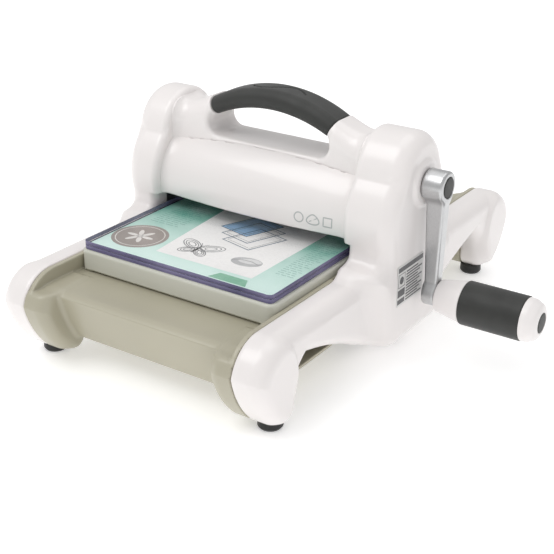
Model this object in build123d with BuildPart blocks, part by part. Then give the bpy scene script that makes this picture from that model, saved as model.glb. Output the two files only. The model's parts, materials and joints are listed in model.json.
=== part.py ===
from build123d import *
import math
import os

# Manual roller die cutting machine. Millimetres, +Z up, +X along the rollers towards the crank,
# +Y from the infeed side to the outfeed side. The origin is on the floor, midway between the feet.

os.makedirs("parts", exist_ok=True)

# ---- Driving dimensions ---------------------------------------------------------------------
tower_inner_x = 84.0        # inner faces of the two side towers
tower_outer_right = 118.0   # crank-side tower face
tower_outer_left = 112.0    # plain tower face
wall = 3.0                  # moulded wall thickness

nip_low_z = 57.0            # underside of the platform, top of the lower roller
roller_r = 15.65
nip_gap = 22.7
journal_r = 5.95
bore_r = 6.0
roller_half_length = 81.0

upper_lobe_r = 34.5
lower_lobe_r = 47.0
lower_lobe_z = 99.0

seam_x = 86.0               # line where the grey trays meet the white side covers
paw_outer_x = 108.0
leg_inner_x = 67.4
leg_bottom_z = 4.5
column_bottom_z = 10.0
paw_front_y = 181.0
rail_top_z = 68.0
foot_x = 92.7
foot_y = 146.0
foot_r = 8.5
stem_length = 2.4           # foot stem inside the moulding

barrel_end_r = 35.4         # covers bow from this radius at the towers ...
barrel_mid_r = 41.0         # ... to this radius at mid-width
cover_low_z = 87.0
neck_half_y = 18.1

platform_half_x = 81.4
platform_half_y = 127.0
platform_t = 16.0
pad_half_x = 79.0
pad_front_y = -125.5
pad_length = 223.5
pad_t = 3.0
card_t = 0.4

frame_x = 86.2              # inner face of the steel side frames
frame_t = 4.0
gear_x = 96.0
gear_width = 8.0
key_size = 3.0
drive_module = 1.5
pinion_teeth = 12
drive_teeth = 28
timing_module = 2.0
timing_teeth = 27

grip_axis_z = 46.0

lower_roller_z = nip_low_z - 0.05 - roller_r
upper_roller_z = lower_roller_z + 2 * roller_r + nip_gap
crank_z = upper_roller_z + drive_module * (pinion_teeth + drive_teeth) / 2
frame_outer_x = frame_x + frame_t
shaft_end_x = gear_x + gear_width + 2.5

tie_rod_places = [(-21.0, 110.0), (21.0, 110.0), (-22.0, 28.0), (22.0, 28.0)]
screw_places = [(-12.0, 144.0), (12.0, 144.0), (-28.0, 18.5), (28.0, 18.5)]
foot_places = [(x, y) for x in (-foot_x, foot_x) for y in (-foot_y, 0, foot_y)]


def foot_top(y):
    """Height of the moulding that a foot plugs into."""
    return column_bottom_z if y == 0 else leg_bottom_z


def both_ends(half):
    """A front half outline, given as (y, z, radius), followed by its mirror image at the back."""
    whole = half + [(-y, z, r) for y, z, r in reversed(half)]
    return [(y, z) for y, z, r in whole], [r for y, z, r in whole]


# ---- Side outline: paws, rails and column foot -----------------------------------------------
base_half = [
    (-40, column_bottom_z, 7),
    (-80, 36, 30),
    (-104, 49, 10),
    (-137, 49, 26),
    (-137, leg_bottom_z, 10),
    (-164, leg_bottom_z, 16),
    (-paw_front_y, 24, 16),
    (-paw_front_y, 52, 18),
    (-164, rail_top_z + 1, 20),
    (-118, rail_top_z, 30),
]
base_points, base_radii = both_ends(base_half)

column_half = [
    (-26, column_bottom_z, 6),
    (-35, column_bottom_z + 3, 8),
    (-46, 42, 20),
    (-57, 68, 5),
    (-45, 76, 12),
    (-42, 90, 10),
]
column_points, column_radii = both_ends(column_half)

# Plain crank-side shell, before the crank opening. The other side is its mirror image.


def side_shell(tower_outer_x):
    """One moulded side: tower, column, rail and two paws, open towards the machine's middle."""
    with BuildPart() as shell:
        with BuildSketch(Plane.YZ.offset(seam_x)):
            with BuildLine():
                FilletPolyline(*base_points, radius=base_radii, close=True)
            make_face()
        extrude(amount=paw_outer_x - seam_x)
        fillet(shell.faces().sort_by(Axis.X)[-1].edges(), 7)
        with BuildSketch(Plane.YZ.offset(seam_x)):
            with BuildLine():
                FilletPolyline(*base_points, radius=base_radii, close=True)
            make_face()
            offset(amount=-wall, mode=Mode.REPLACE)
        extrude(amount=paw_outer_x - seam_x - wall, mode=Mode.SUBTRACT)

        with BuildPart(mode=Mode.PRIVATE) as tower:
            for centre_z, radius in ((crank_z, upper_lobe_r), (lower_lobe_z, lower_lobe_r)):
                with BuildPart(mode=Mode.PRIVATE) as lobe:
                    with BuildSketch(Plane.YZ.offset(tower_inner_x)):
                        with Locations((0, centre_z)):
                            Circle(radius)
                    extrude(amount=tower_outer_x - tower_inner_x)
                    fillet(lobe.faces().sort_by(Axis.X)[-1].edges(), 12)
                    fillet(lobe.faces().sort_by(Axis.X)[0].edges(), 5)
                add(lobe.part)
            with BuildPart(mode=Mode.PRIVATE) as column:
                with BuildSketch(Plane.YZ.offset(tower_inner_x)):
                    with BuildLine():
                        FilletPolyline(*column_points, radius=column_radii, close=True)
                    make_face()
                extrude(amount=tower_outer_x - tower_inner_x)
                fillet(column.faces().sort_by(Axis.X)[-1].edges(), 7)
            add(column.part)
        add(tower.part)

        # Hollow of the tower, then the window that the rollers and tie rods pass through.
        with BuildPart(mode=Mode.PRIVATE) as hollow:
            for centre_z, radius in ((crank_z, upper_lobe_r), (lower_lobe_z, lower_lobe_r)):
                with BuildPart(mode=Mode.PRIVATE) as lobe:
                    with BuildSketch(Plane.YZ.offset(seam_x)):
                        with Locations((0, centre_z)):
                            Circle(radius - wall)
                    extrude(amount=tower_outer_x - wall - seam_x)
                    fillet(lobe.faces().sort_by(Axis.X)[-1].edges(), 9)
                add(lobe.part)
            with BuildPart(mode=Mode.PRIVATE) as foot_room:
                with BuildSketch(Plane.YZ.offset(seam_x)):
                    with Locations((0, 50)):
                        RectangleRounded(66, 76, 6)
                extrude(amount=tower_outer_x - wall - seam_x)
                fillet(foot_room.faces().sort_by(Axis.X)[-1].edges(), 4)
            add(foot_room.part)
        add(hollow.part, mode=Mode.SUBTRACT)
        with BuildSketch(Plane.YZ.offset(tower_inner_x)):
            with Locations((0, 69)):
                RectangleRounded(54, 94, 6)
        extrude(amount=seam_x - tower_inner_x, mode=Mode.SUBTRACT)

        # Screw bosses that carry the side frame, with screwdriver access from inside.
        with BuildSketch(Plane.YZ.offset(frame_outer_x + 0.05)):
            with Locations(*screw_places):
                Circle(3.5)
        extrude(amount=tower_outer_x - wall - frame_outer_x)
        with BuildSketch(Plane.YZ.offset(frame_outer_x)):
            with Locations(*screw_places):
                Circle(1.3)
        extrude(amount=12, mode=Mode.SUBTRACT)
        with BuildSketch(Plane.YZ.offset(tower_inner_x)):
            with Locations(*screw_places):
                Circle(3.2)
        extrude(amount=seam_x - tower_inner_x, mode=Mode.SUBTRACT)

        # Sockets for the feet.
        with BuildSketch(Plane.XY):
            for y in (-foot_y, 0, foot_y):
                with Locations((foot_x, y)):
                    Circle(4.05)
        extrude(amount=column_bottom_z + wall, mode=Mode.SUBTRACT)
    return shell


right_shell = side_shell(tower_outer_right)
left_shell = side_shell(tower_outer_left)

with BuildPart() as right_side_cover:
    add(right_shell.part)
    with BuildSketch(Plane.YZ.offset(tower_outer_right - 1)):
        with Locations((0, crank_z)):
            Circle(16)
    extrude(amount=3)
    fillet(right_side_cover.faces().sort_by(Axis.X)[-1].edges(), 1.5)
    with BuildSketch(Plane.YZ.offset(tower_outer_right - wall - 1)):
        with Locations((0, crank_z)):
            Circle(9.0)
    extrude(amount=10, mode=Mode.SUBTRACT)
right_side_cover.part.label = "right_side_cover"
export_step(right_side_cover.part, "parts/right_side_cover.step")

with BuildPart() as left_side_cover:
    add(mirror(left_shell.part, about=Plane.YZ, mode=Mode.PRIVATE))
left_side_cover.part.label = "left_side_cover"
export_step(left_side_cover.part, "parts/left_side_cover.step")

# ---- Steel side frames -----------------------------------------------------------------------
with BuildPart() as right_side_frame:
    with BuildSketch(Plane.YZ.offset(frame_x)):
        with Locations((0, 63)):
            RectangleRounded(66, 98, 8)
        with Locations((0, crank_z)):
            Circle(30)
        with Locations((0, lower_roller_z), (0, upper_roller_z), (0, crank_z)):
            Circle(9.0, mode=Mode.SUBTRACT)
        with Locations(*tie_rod_places):
            Circle(2.55, mode=Mode.SUBTRACT)
        with Locations(*screw_places):
            Circle(1.7, mode=Mode.SUBTRACT)
    extrude(amount=frame_t)
right_side_frame.part.label = "right_side_frame"
export_step(right_side_frame.part, "parts/right_side_frame.step")

with BuildPart() as left_side_frame:
    with BuildSketch(Plane.YZ.offset(-frame_x - frame_t)):
        with Locations((0, 63)):
            RectangleRounded(66, 98, 8)
        with Locations((0, crank_z)):
            Circle(30)
        with Locations((0, lower_roller_z), (0, upper_roller_z)):
            Circle(9.0, mode=Mode.SUBTRACT)
        with Locations(*tie_rod_places):
            Circle(2.55, mode=Mode.SUBTRACT)
        with Locations(*screw_places):
            Circle(1.7, mode=Mode.SUBTRACT)
    extrude(amount=frame_t)
left_side_frame.part.label = "left_side_frame"
export_step(left_side_frame.part, "parts/left_side_frame.step")

with BuildPart() as tie_rods:
    with BuildSketch(Plane.YZ):
        with Locations(*tie_rod_places):
            Circle(4)
    extrude(amount=frame_x, both=True)
    with BuildSketch(Plane.YZ):
        with Locations(*tie_rod_places):
            Circle(2.5)
    extrude(amount=frame_outer_x + 5, both=True)
tie_rods.part.label = "tie_rods"
export_step(tie_rods.part, "parts/tie_rods.step")

with BuildPart() as tie_rod_nuts:
    for nut_x in (frame_outer_x, -frame_outer_x - 4):
        with BuildSketch(Plane.YZ.offset(nut_x)):
            with Locations(*tie_rod_places):
                RegularPolygon(4, 6, major_radius=False)
                Circle(2.55, mode=Mode.SUBTRACT)
        extrude(amount=4)
tie_rod_nuts.part.label = "tie_rod_nuts"
export_step(tie_rod_nuts.part, "parts/tie_rod_nuts.step")

with BuildPart() as right_frame_screws:
    with BuildSketch(Plane.YZ.offset(frame_x - 2)):
        with Locations(*screw_places):
            Circle(3)
            RegularPolygon(1.1, 6, mode=Mode.SUBTRACT)
    extrude(amount=1.95)
    with BuildSketch(Plane.YZ.offset(frame_x - 1)):
        with Locations(*screw_places):
            Circle(1.25)
    extrude(amount=14)

with BuildPart() as frame_screws:
    add(right_frame_screws.part)
    mirror(about=Plane.YZ)
frame_screws.part.label = "frame_screws"
export_step(frame_screws.part, "parts/frame_screws.step")


# One flanged bush on the X axis, copied to each journal.
with BuildPart() as flanged_bush:
    with BuildSketch(Plane.XZ):
        with BuildLine():
            Polyline(
                (frame_x - 1.4, bore_r),
                (frame_outer_x + 1.2, bore_r),
                (frame_outer_x + 1.2, 11),
                (frame_outer_x + 0.05, 11),
                (frame_outer_x + 0.05, 8.95),
                (frame_x - 1.4, 8.95),
                close=True,
            )
        make_face()
    revolve(axis=Axis.X)

with BuildPart() as roller_bushes:
    for centre_z in (lower_roller_z, upper_roller_z):
        add(Pos(0, 0, centre_z) * flanged_bush.part)
    mirror(about=Plane.YZ)
roller_bushes.part.label = "roller_bushes"
export_step(roller_bushes.part, "parts/roller_bushes.step")

with BuildPart() as crank_inner_bush:
    add(Pos(0, 0, crank_z) * flanged_bush.part)
    split(bisect_by=Plane.YZ.offset(frame_x), keep=Keep.TOP)
crank_inner_bush.part.label = "crank_inner_bush"
export_step(crank_inner_bush.part, "parts/crank_inner_bush.step")

with BuildPart() as crank_outer_bush:
    with BuildSketch(Plane.YZ.offset(tower_outer_right - wall)):
        with Locations((0, crank_z)):
            Circle(8.95)
            Circle(bore_r, mode=Mode.SUBTRACT)
    extrude(amount=wall + 1.8)
crank_outer_bush.part.label = "crank_outer_bush"
export_step(crank_outer_bush.part, "parts/crank_outer_bush.step")

# ---- Bowed covers between the towers ---------------------------------------------------------
barrel_axis = Axis((0, 0, upper_roller_z), (1, 0, 0))
cover_half_x = tower_inner_x - 0.1

with BuildPart() as barrel:
    with BuildSketch(Plane.XZ):
        with BuildLine():
            ThreePointArc(
                (-cover_half_x, upper_roller_z + barrel_end_r),
                (0, upper_roller_z + barrel_mid_r),
                (cover_half_x, upper_roller_z + barrel_end_r),
            )
            Line(
                (cover_half_x, upper_roller_z + barrel_end_r),
                (cover_half_x, upper_roller_z + barrel_end_r - wall),
            )
            ThreePointArc(
                (cover_half_x, upper_roller_z + barrel_end_r - wall),
                (0, upper_roller_z + barrel_mid_r - wall),
                (-cover_half_x, upper_roller_z + barrel_end_r - wall),
            )
            Line(
                (-cover_half_x, upper_roller_z + barrel_end_r - wall),
                (-cover_half_x, upper_roller_z + barrel_end_r),
            )
        make_face()
    revolve(axis=barrel_axis)

with BuildPart() as front_cover:
    add(barrel.part)
    with Locations((0, -neck_half_y - 30.1, cover_low_z + 30)):
        Box(200, 60, 60, mode=Mode.INTERSECT)
front_cover.part.label = "front_cover"
export_step(front_cover.part, "parts/front_cover.step")

with BuildPart() as rear_cover:
    add(mirror(front_cover.part, about=Plane.XZ, mode=Mode.PRIVATE))
rear_cover.part.label = "rear_cover"
export_step(rear_cover.part, "parts/rear_cover.step")

# ---- Neck, carry handle and grip -------------------------------------------------------------
neck_low_z = 116.0
neck_side_z = 149.2             # neck height where it meets the towers
grip_end = (53.4, 158.4)        # top of the grip's end face
grip_heel = (47.6, 147.5)       # underside of the grip's end face
grip_top_z = 172.3
grip_under_z = 158.4
grip_wall = 3.0                 # rubber over the core
grip_half_y = 14.5
opening_side = (51.5, 141.0)    # widest point of the hand opening
saddle_end = (45.0, 134.5)      # where its end curve meets its floor
saddle_z = 132.8                # floor of the hand opening
core_end = (56.0, 153.2)        # core of the arch, where it roots in the neck
core_root = (53.0, 147.0)
core_heel = (46.0, 151.5)
core_half_y = 10.0
shoulder_r = 9.0
shoulder_hollow_x = 67.5
shoulder_hollow_top_z = 144.0


def mirrored(point):
    """The same (x, z) point on the other side of the machine's middle."""
    return (-point[0], point[1])


with BuildPart() as top_cover:
    with BuildSketch(Plane.XZ.offset(-neck_half_y)):
        with BuildLine():
            Line((-cover_half_x, neck_low_z), (cover_half_x, neck_low_z))
            Line((cover_half_x, neck_low_z), (cover_half_x, neck_side_z))
            Line((cover_half_x, neck_side_z), grip_end)
            Line(grip_end, grip_heel)
            ThreePointArc(grip_heel, opening_side, saddle_end)
            ThreePointArc(saddle_end, (0, saddle_z), mirrored(saddle_end))
            ThreePointArc(mirrored(saddle_end), mirrored(opening_side), mirrored(grip_heel))
            Line(mirrored(grip_heel), mirrored(grip_end))
            Line(mirrored(grip_end), (-cover_half_x, neck_side_z))
            Line((-cover_half_x, neck_side_z), (-cover_half_x, neck_low_z))
        make_face()
    extrude(amount=2 * neck_half_y)
    upper_edges = top_cover.edges().filter_by_position(Axis.Z, neck_side_z, grip_top_z)
    outer_edges = upper_edges.filter_by(lambda e: abs(e.center().Y) > neck_half_y - 0.1)
    fillet(outer_edges.filter_by(lambda e: e.length > 25), shoulder_r)
    # Hollow under the saddle and inside the shoulders.
    with BuildSketch(Plane.XY.offset(neck_low_z)):
        Rectangle(2 * cover_half_x - 2 * wall, 2 * neck_half_y - 2 * wall)
    extrude(amount=saddle_z - wall - neck_low_z, mode=Mode.SUBTRACT)
    for side in (-1, 1):
        with BuildSketch(Plane.XY.offset(neck_low_z)):
            with Locations((side * shoulder_hollow_x, 0)):
                Rectangle(26, 2 * neck_half_y - 4 * wall)
        extrude(amount=shoulder_hollow_top_z - neck_low_z, mode=Mode.SUBTRACT)
    # Arch that carries the rubber grip.
    with BuildSketch(Plane.XZ.offset(-core_half_y)):
        with BuildLine():
            ThreePointArc(mirrored(core_end), (0, grip_top_z - grip_wall), core_end)
            Line(core_end, core_root)
            Line(core_root, core_heel)
            ThreePointArc(core_heel, (0, grip_under_z + grip_wall), mirrored(core_heel))
            Line(mirrored(core_heel), mirrored(core_root))
            Line(mirrored(core_root), mirrored(core_end))
        make_face()
    extrude(amount=2 * core_half_y)
top_cover.part.label = "top_cover"
export_step(top_cover.part, "parts/top_cover.step")

with BuildPart() as carry_grip:
    with BuildSketch(Plane.XZ.offset(-grip_half_y)):
        with BuildLine():
            ThreePointArc(mirrored(grip_end), (0, grip_top_z), grip_end)
            Line(grip_end, grip_heel)
            ThreePointArc(grip_heel, (0, grip_under_z), mirrored(grip_heel))
            Line(mirrored(grip_heel), mirrored(grip_end))
        make_face()
    extrude(amount=2 * grip_half_y)
    long_edges = carry_grip.edges().filter_by(lambda e: e.length > 90)
    fillet(long_edges, 5)
    add(top_cover.part, mode=Mode.SUBTRACT)
carry_grip.part.label = "carry_grip"
export_step(carry_grip.part, "parts/carry_grip.step")

# ---- Grey trays ------------------------------------------------------------------------------
deck_z = nip_low_z - 0.1
deck_t = 3.0
tray_wall_x = 82.0
nose = [(-162.4, deck_z), (-167.5, 50), (-166.5, 38), (-158, 27), (-150, 18)]

with BuildPart() as front_tray:
    # Deck with its rounded nose.
    with BuildSketch(Plane.YZ.offset(-leg_inner_x)):
        with BuildLine():
            Line((-19, deck_z), nose[0])
            Spline(*nose)
            Line(nose[-1], (-146.5, 18))
            Spline((-146.5, 18), (-154.5, 28), (-162.5, 38), (-163.5, 48), (-160.5, deck_z - deck_t))
            Line((-160.5, deck_z - deck_t), (-19, deck_z - deck_t))
            Line((-19, deck_z - deck_t), (-19, deck_z))
        make_face()
    extrude(amount=2 * leg_inner_x)
    for side in (-1, 1):
        # Inner half of the paw, below deck height.
        with BuildPart(mode=Mode.PRIVATE) as leg:
            with BuildSketch(Plane.YZ.offset(leg_inner_x)):
                with BuildLine():
                    FilletPolyline(*base_points, radius=base_radii, close=True)
                make_face()
            extrude(amount=seam_x - leg_inner_x)
            fillet(leg.faces().sort_by(Axis.X)[0].edges(), 5)
            with BuildSketch(Plane.YZ.offset(leg_inner_x + wall)):
                with BuildLine():
                    FilletPolyline(*base_points, radius=base_radii, close=True)
                make_face()
                offset(amount=-wall, mode=Mode.REPLACE)
                with Locations((0, deck_z - deck_t + 50)):
                    Rectangle(400, 100, mode=Mode.SUBTRACT)
            extrude(amount=seam_x - leg_inner_x, mode=Mode.SUBTRACT)
            with Locations((seam_x, -160, deck_z / 2)):
                Box(60, 52, deck_z, mode=Mode.INTERSECT)
        with BuildPart(mode=Mode.PRIVATE) as rail_wall:
            with BuildSketch(Plane.YZ.offset(tray_wall_x)):
                with BuildLine():
                    FilletPolyline(*base_points, radius=base_radii, close=True)
                make_face()
            extrude(amount=seam_x - tray_wall_x - 0.05)
            with Locations((seam_x, -118, 61.0)):
                Box(60, 136, 14.2, mode=Mode.INTERSECT)
        with BuildPart(mode=Mode.PRIVATE) as deck_edge:
            with Locations((tray_wall_x - 7.3, -110, deck_z - deck_t / 2)):
                Box(22, 104, deck_t)
        half = [leg.part, rail_wall.part, deck_edge.part]
        for piece in half:
            add(piece if side == 1 else mirror(piece, about=Plane.YZ, mode=Mode.PRIVATE))
    # Clearance around the towers and the tray's open underside.
    for side in (-1, 1):
        with Locations((side * (tower_inner_x + 14), -40, 60)):
            Box(28.1, 40, 160, mode=Mode.SUBTRACT)
front_tray.part.label = "front_tray"
export_step(front_tray.part, "parts/front_tray.step")

with BuildPart() as rear_tray:
    add(mirror(front_tray.part, about=Plane.XZ, mode=Mode.PRIVATE))
rear_tray.part.label = "rear_tray"
export_step(rear_tray.part, "parts/rear_tray.step")

# ---- Feet ------------------------------------------------------------------------------------
with BuildPart() as feet:
    for x, y in foot_places:
        top = foot_top(y) - 0.05
        with BuildSketch(Plane.XY):
            with Locations((x, y)):
                Circle(foot_r - 1)
        with BuildSketch(Plane.XY.offset(2)):
            with Locations((x, y)):
                Circle(foot_r)
        loft()
        with BuildSketch(Plane.XY.offset(2)):
            with Locations((x, y)):
                Circle(foot_r)
        extrude(amount=top - 2)
        with BuildSketch(Plane.XY.offset(top)):
            with Locations((x, y)):
                Circle(4)
        extrude(amount=stem_length)
        with BuildSketch(Plane.XY):
            with Locations((x, y)):
                Circle(2.05)
        extrude(amount=top + stem_length, mode=Mode.SUBTRACT)
        with BuildSketch(Plane.XY):
            with Locations((x, y)):
                Circle(4.05)
        extrude(amount=1.6, mode=Mode.SUBTRACT)
feet.part.label = "feet"
export_step(feet.part, "parts/feet.step")

with BuildPart() as foot_screws:
    for x, y in foot_places:
        with BuildSketch(Plane.XY.offset(0.3)):
            with Locations((x, y)):
                Circle(3.8)
                Rectangle(5, 1, mode=Mode.SUBTRACT)
        extrude(amount=1.2)
        with BuildSketch(Plane.XY.offset(1.2)):
            with Locations((x, y)):
                Circle(2)
        extrude(amount=foot_top(y) + stem_length - 1.2)
foot_screws.part.label = "foot_screws"
export_step(foot_screws.part, "parts/foot_screws.step")

# ---- Blank rating plate ----------------------------------------------------------------------
with BuildPart() as side_label:
    with BuildSketch(Plane.YZ.offset(tower_outer_right + 0.02)):
        with Locations((-13.5, 59)):
            RectangleRounded(37, 30, 1.5)
    extrude(amount=0.3)
side_label.part.label = "side_label"
export_step(side_label.part, "parts/side_label.step")


# ---- Gears -----------------------------------------------------------------------------------
pressure_angle = math.radians(20)
addendum = 0.8
dedendum = 1.1
backlash = 0.16


def involute(angle):
    """Involute function."""
    return math.tan(angle) - angle


def gear_tooth(module, teeth, towards):
    """Closed outline of one involute tooth whose middle points along the angle towards."""
    pitch_r = module * teeth / 2
    base_r = pitch_r * math.cos(pressure_angle)
    tip_r = pitch_r + addendum * module
    root_r = pitch_r - dedendum * module
    half_angle = math.pi / (2 * teeth) - backlash / (2 * pitch_r) + involute(pressure_angle)

    def flank(radius, side):
        """Point on a flank at a radius; below the base circle the flank is radial."""
        roll = math.acos(base_r / radius) if radius > base_r else 0.0
        angle = towards + side * (half_angle - involute(roll))
        return (radius * math.cos(angle), radius * math.sin(angle))

    start_r = max(base_r, root_r)
    radii = [start_r + (tip_r - start_r) * k / 4 for k in range(5)]
    foot_r_inside = root_r - 0.5
    low = [(foot_r_inside * math.cos(towards + side * half_angle),
            foot_r_inside * math.sin(towards + side * half_angle)) for side in (-1, 1)]
    Line(low[0], flank(start_r, -1))
    Spline(*[flank(r, -1) for r in radii])
    Line(flank(tip_r, -1), flank(tip_r, 1))
    Spline(*[flank(r, 1) for r in reversed(radii)])
    Line(flank(start_r, 1), low[1])
    Line(low[1], low[0])


def gear_blank(module, teeth, first_tooth, hub_r, face_x):
    """Spur gear about the X axis with a round bore and one tooth along the angle first_tooth."""
    pitch_r = module * teeth / 2
    with BuildPart() as gear:
        with BuildSketch(Plane.YZ.offset(face_x)):
            Circle(pitch_r - dedendum * module)
            for k in range(teeth):
                with BuildLine():
                    gear_tooth(module, teeth, first_tooth + 2 * math.pi * k / teeth)
                make_face()
            Circle(bore_r, mode=Mode.SUBTRACT)
        extrude(amount=gear_width)
        if hub_r > 0:
            web_r = pitch_r - dedendum * module - 3
            for recess_x in (face_x, face_x + gear_width - 2):
                with BuildSketch(Plane.YZ.offset(recess_x)):
                    Circle(web_r)
                    Circle(hub_r, mode=Mode.SUBTRACT)
                extrude(amount=2, mode=Mode.SUBTRACT)
    return gear


def cut_keyway(centre_z, face_x):
    """Cuts the slot for a parallel key on top of a shaft, as long as the gear is wide."""
    with Locations((face_x + gear_width / 2, 0, centre_z + journal_r)):
        Box(gear_width, key_size + 0.1, key_size + 0.1, mode=Mode.SUBTRACT)


def add_key(centre_z, face_x):
    """Parallel key, half in the shaft and half in the gear."""
    with Locations((face_x + gear_width / 2, 0, centre_z + journal_r)):
        Box(gear_width - 0.1, key_size, key_size)


up = math.pi / 2
pinion_hub_x = frame_outer_x + 1.4
pinion_hub_r = 9.5
pin_x = (pinion_hub_x + gear_x) / 2
pin_r = 1.0
left_gear_x = -gear_x - gear_width

with BuildPart() as drive_gear:
    add(Pos(0, 0, upper_roller_z) * gear_blank(drive_module, drive_teeth, up, 10.5, gear_x).part)
    cut_keyway(upper_roller_z, gear_x)
drive_gear.part.label = "drive_gear"
export_step(drive_gear.part, "parts/drive_gear.step")

with BuildPart() as crank_pinion:
    half_pitch = math.pi / pinion_teeth
    add(Pos(0, 0, crank_z) * gear_blank(drive_module, pinion_teeth, -up + half_pitch, 0, gear_x).part)
    with BuildSketch(Plane.YZ.offset(pinion_hub_x)):
        with Locations((0, crank_z)):
            Circle(pinion_hub_r)
            Circle(bore_r, mode=Mode.SUBTRACT)
    extrude(amount=gear_x - pinion_hub_x)
    with BuildSketch(Plane.XY.offset(crank_z)):
        with Locations((pin_x, 0)):
            Circle(pin_r + 0.05)
    extrude(amount=pinion_hub_r + 1, both=True, mode=Mode.SUBTRACT)
crank_pinion.part.label = "crank_pinion"
export_step(crank_pinion.part, "parts/crank_pinion.step")

with BuildPart() as upper_timing_gear:
    half_pitch = math.pi / timing_teeth
    add(Pos(0, 0, upper_roller_z)
        * gear_blank(timing_module, timing_teeth, -up + half_pitch, 10.5, left_gear_x).part)
    cut_keyway(upper_roller_z, left_gear_x)
upper_timing_gear.part.label = "upper_timing_gear"
export_step(upper_timing_gear.part, "parts/upper_timing_gear.step")

with BuildPart() as lower_timing_gear:
    add(Pos(0, 0, lower_roller_z)
        * gear_blank(timing_module, timing_teeth, up, 10.5, left_gear_x).part)
    cut_keyway(lower_roller_z, left_gear_x)
lower_timing_gear.part.label = "lower_timing_gear"
export_step(lower_timing_gear.part, "parts/lower_timing_gear.step")

# ---- Rollers ---------------------------------------------------------------------------------
ring_x = gear_x + gear_width + 0.2
ring_t = 1.0

with BuildPart() as upper_roller:
    with BuildSketch(Plane.YZ):
        with Locations((0, upper_roller_z)):
            Circle(roller_r)
    extrude(amount=roller_half_length, both=True)
    chamfer(upper_roller.edges().filter_by(GeomType.CIRCLE), 0.6)
    with BuildSketch(Plane.YZ):
        with Locations((0, upper_roller_z)):
            Circle(journal_r)
    extrude(amount=shaft_end_x, both=True)
    for x in (ring_x, -ring_x - ring_t):
        with BuildSketch(Plane.YZ.offset(x)):
            with Locations((0, upper_roller_z)):
                Circle(journal_r + 1)
                Circle(journal_r - 0.8, mode=Mode.SUBTRACT)
        extrude(amount=ring_t, mode=Mode.SUBTRACT)
    for x in (gear_x, left_gear_x):
        cut_keyway(upper_roller_z, x)
upper_roller.part.label = "upper_roller"
export_step(upper_roller.part, "parts/upper_roller.step")

with BuildPart() as lower_roller:
    with BuildSketch(Plane.YZ):
        with Locations((0, lower_roller_z)):
            Circle(roller_r)
    extrude(amount=roller_half_length, both=True)
    chamfer(lower_roller.edges().filter_by(GeomType.CIRCLE), 0.6)
    with BuildSketch(Plane.YZ.offset(-shaft_end_x)):
        with Locations((0, lower_roller_z)):
            Circle(journal_r)
    extrude(amount=shaft_end_x + frame_outer_x + 4)
    for x in (frame_outer_x + 1.6, -ring_x - ring_t):
        with BuildSketch(Plane.YZ.offset(x)):
            with Locations((0, lower_roller_z)):
                Circle(journal_r + 1)
                Circle(journal_r - 0.8, mode=Mode.SUBTRACT)
        extrude(amount=ring_t, mode=Mode.SUBTRACT)
    cut_keyway(lower_roller_z, left_gear_x)
lower_roller.part.label = "lower_roller"
export_step(lower_roller.part, "parts/lower_roller.step")


def retaining_ring(x, centre_z):
    """Open retaining ring seated in a shaft groove, with its gap towards +Y."""
    with BuildPart() as ring:
        with BuildSketch(Plane.YZ.offset(x + 0.1)):
            with Locations((0, centre_z)):
                Circle(journal_r + 2)
                Circle(journal_r - 0.75, mode=Mode.SUBTRACT)
            with Locations((journal_r + 1, centre_z)):
                Rectangle(6, 5, mode=Mode.SUBTRACT)
        extrude(amount=ring_t - 0.2)
    return ring.part


with BuildPart() as upper_retaining_rings:
    for x in (ring_x, -ring_x - ring_t):
        add(retaining_ring(x, upper_roller_z))
upper_retaining_rings.part.label = "upper_retaining_rings"
export_step(upper_retaining_rings.part, "parts/upper_retaining_rings.step")

with BuildPart() as lower_retaining_rings:
    for x in (frame_outer_x + 1.6, -ring_x - ring_t):
        add(retaining_ring(x, lower_roller_z))
lower_retaining_rings.part.label = "lower_retaining_rings"
export_step(lower_retaining_rings.part, "parts/lower_retaining_rings.step")

with BuildPart() as upper_keys:
    for x in (gear_x, left_gear_x):
        add_key(upper_roller_z, x)
upper_keys.part.label = "upper_keys"
export_step(upper_keys.part, "parts/upper_keys.step")

with BuildPart() as lower_key:
    add_key(lower_roller_z, left_gear_x)
lower_key.part.label = "lower_key"
export_step(lower_key.part, "parts/lower_key.step")

# ---- Crank -----------------------------------------------------------------------------------
hub_r = 11.0
hub_inner_x = tower_outer_right + 2.2
hub_outer_x = 136.0
hub_floor_x = 130.0
arm_inner_x = 121.8
boss_inner_x = 124.5
boss_outer_x = 134.5
arm_half_y = 4.8

with BuildPart() as crank_shaft:
    with BuildSketch(Plane.YZ.offset(frame_x + 0.1)):
        with Locations((0, crank_z)):
            Circle(journal_r)
    extrude(amount=hub_floor_x - frame_x - 0.2)
    with BuildSketch(Plane.YZ.offset(hub_floor_x - 12)):
        with Locations((0, crank_z)):
            Circle(2.5)
    extrude(amount=13, mode=Mode.SUBTRACT)
    with BuildSketch(Plane.XY.offset(crank_z)):
        with Locations((pin_x, 0)):
            Circle(pin_r + 0.05)
    extrude(amount=20, both=True, mode=Mode.SUBTRACT)
crank_shaft.part.label = "crank_shaft"
export_step(crank_shaft.part, "parts/crank_shaft.step")

with BuildPart() as pinion_pin:
    with BuildSketch(Plane.XY.offset(crank_z)):
        with Locations((pin_x, 0)):
            Circle(pin_r)
    extrude(amount=pinion_hub_r - 0.2, both=True)
pinion_pin.part.label = "pinion_pin"
export_step(pinion_pin.part, "parts/pinion_pin.step")

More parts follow.
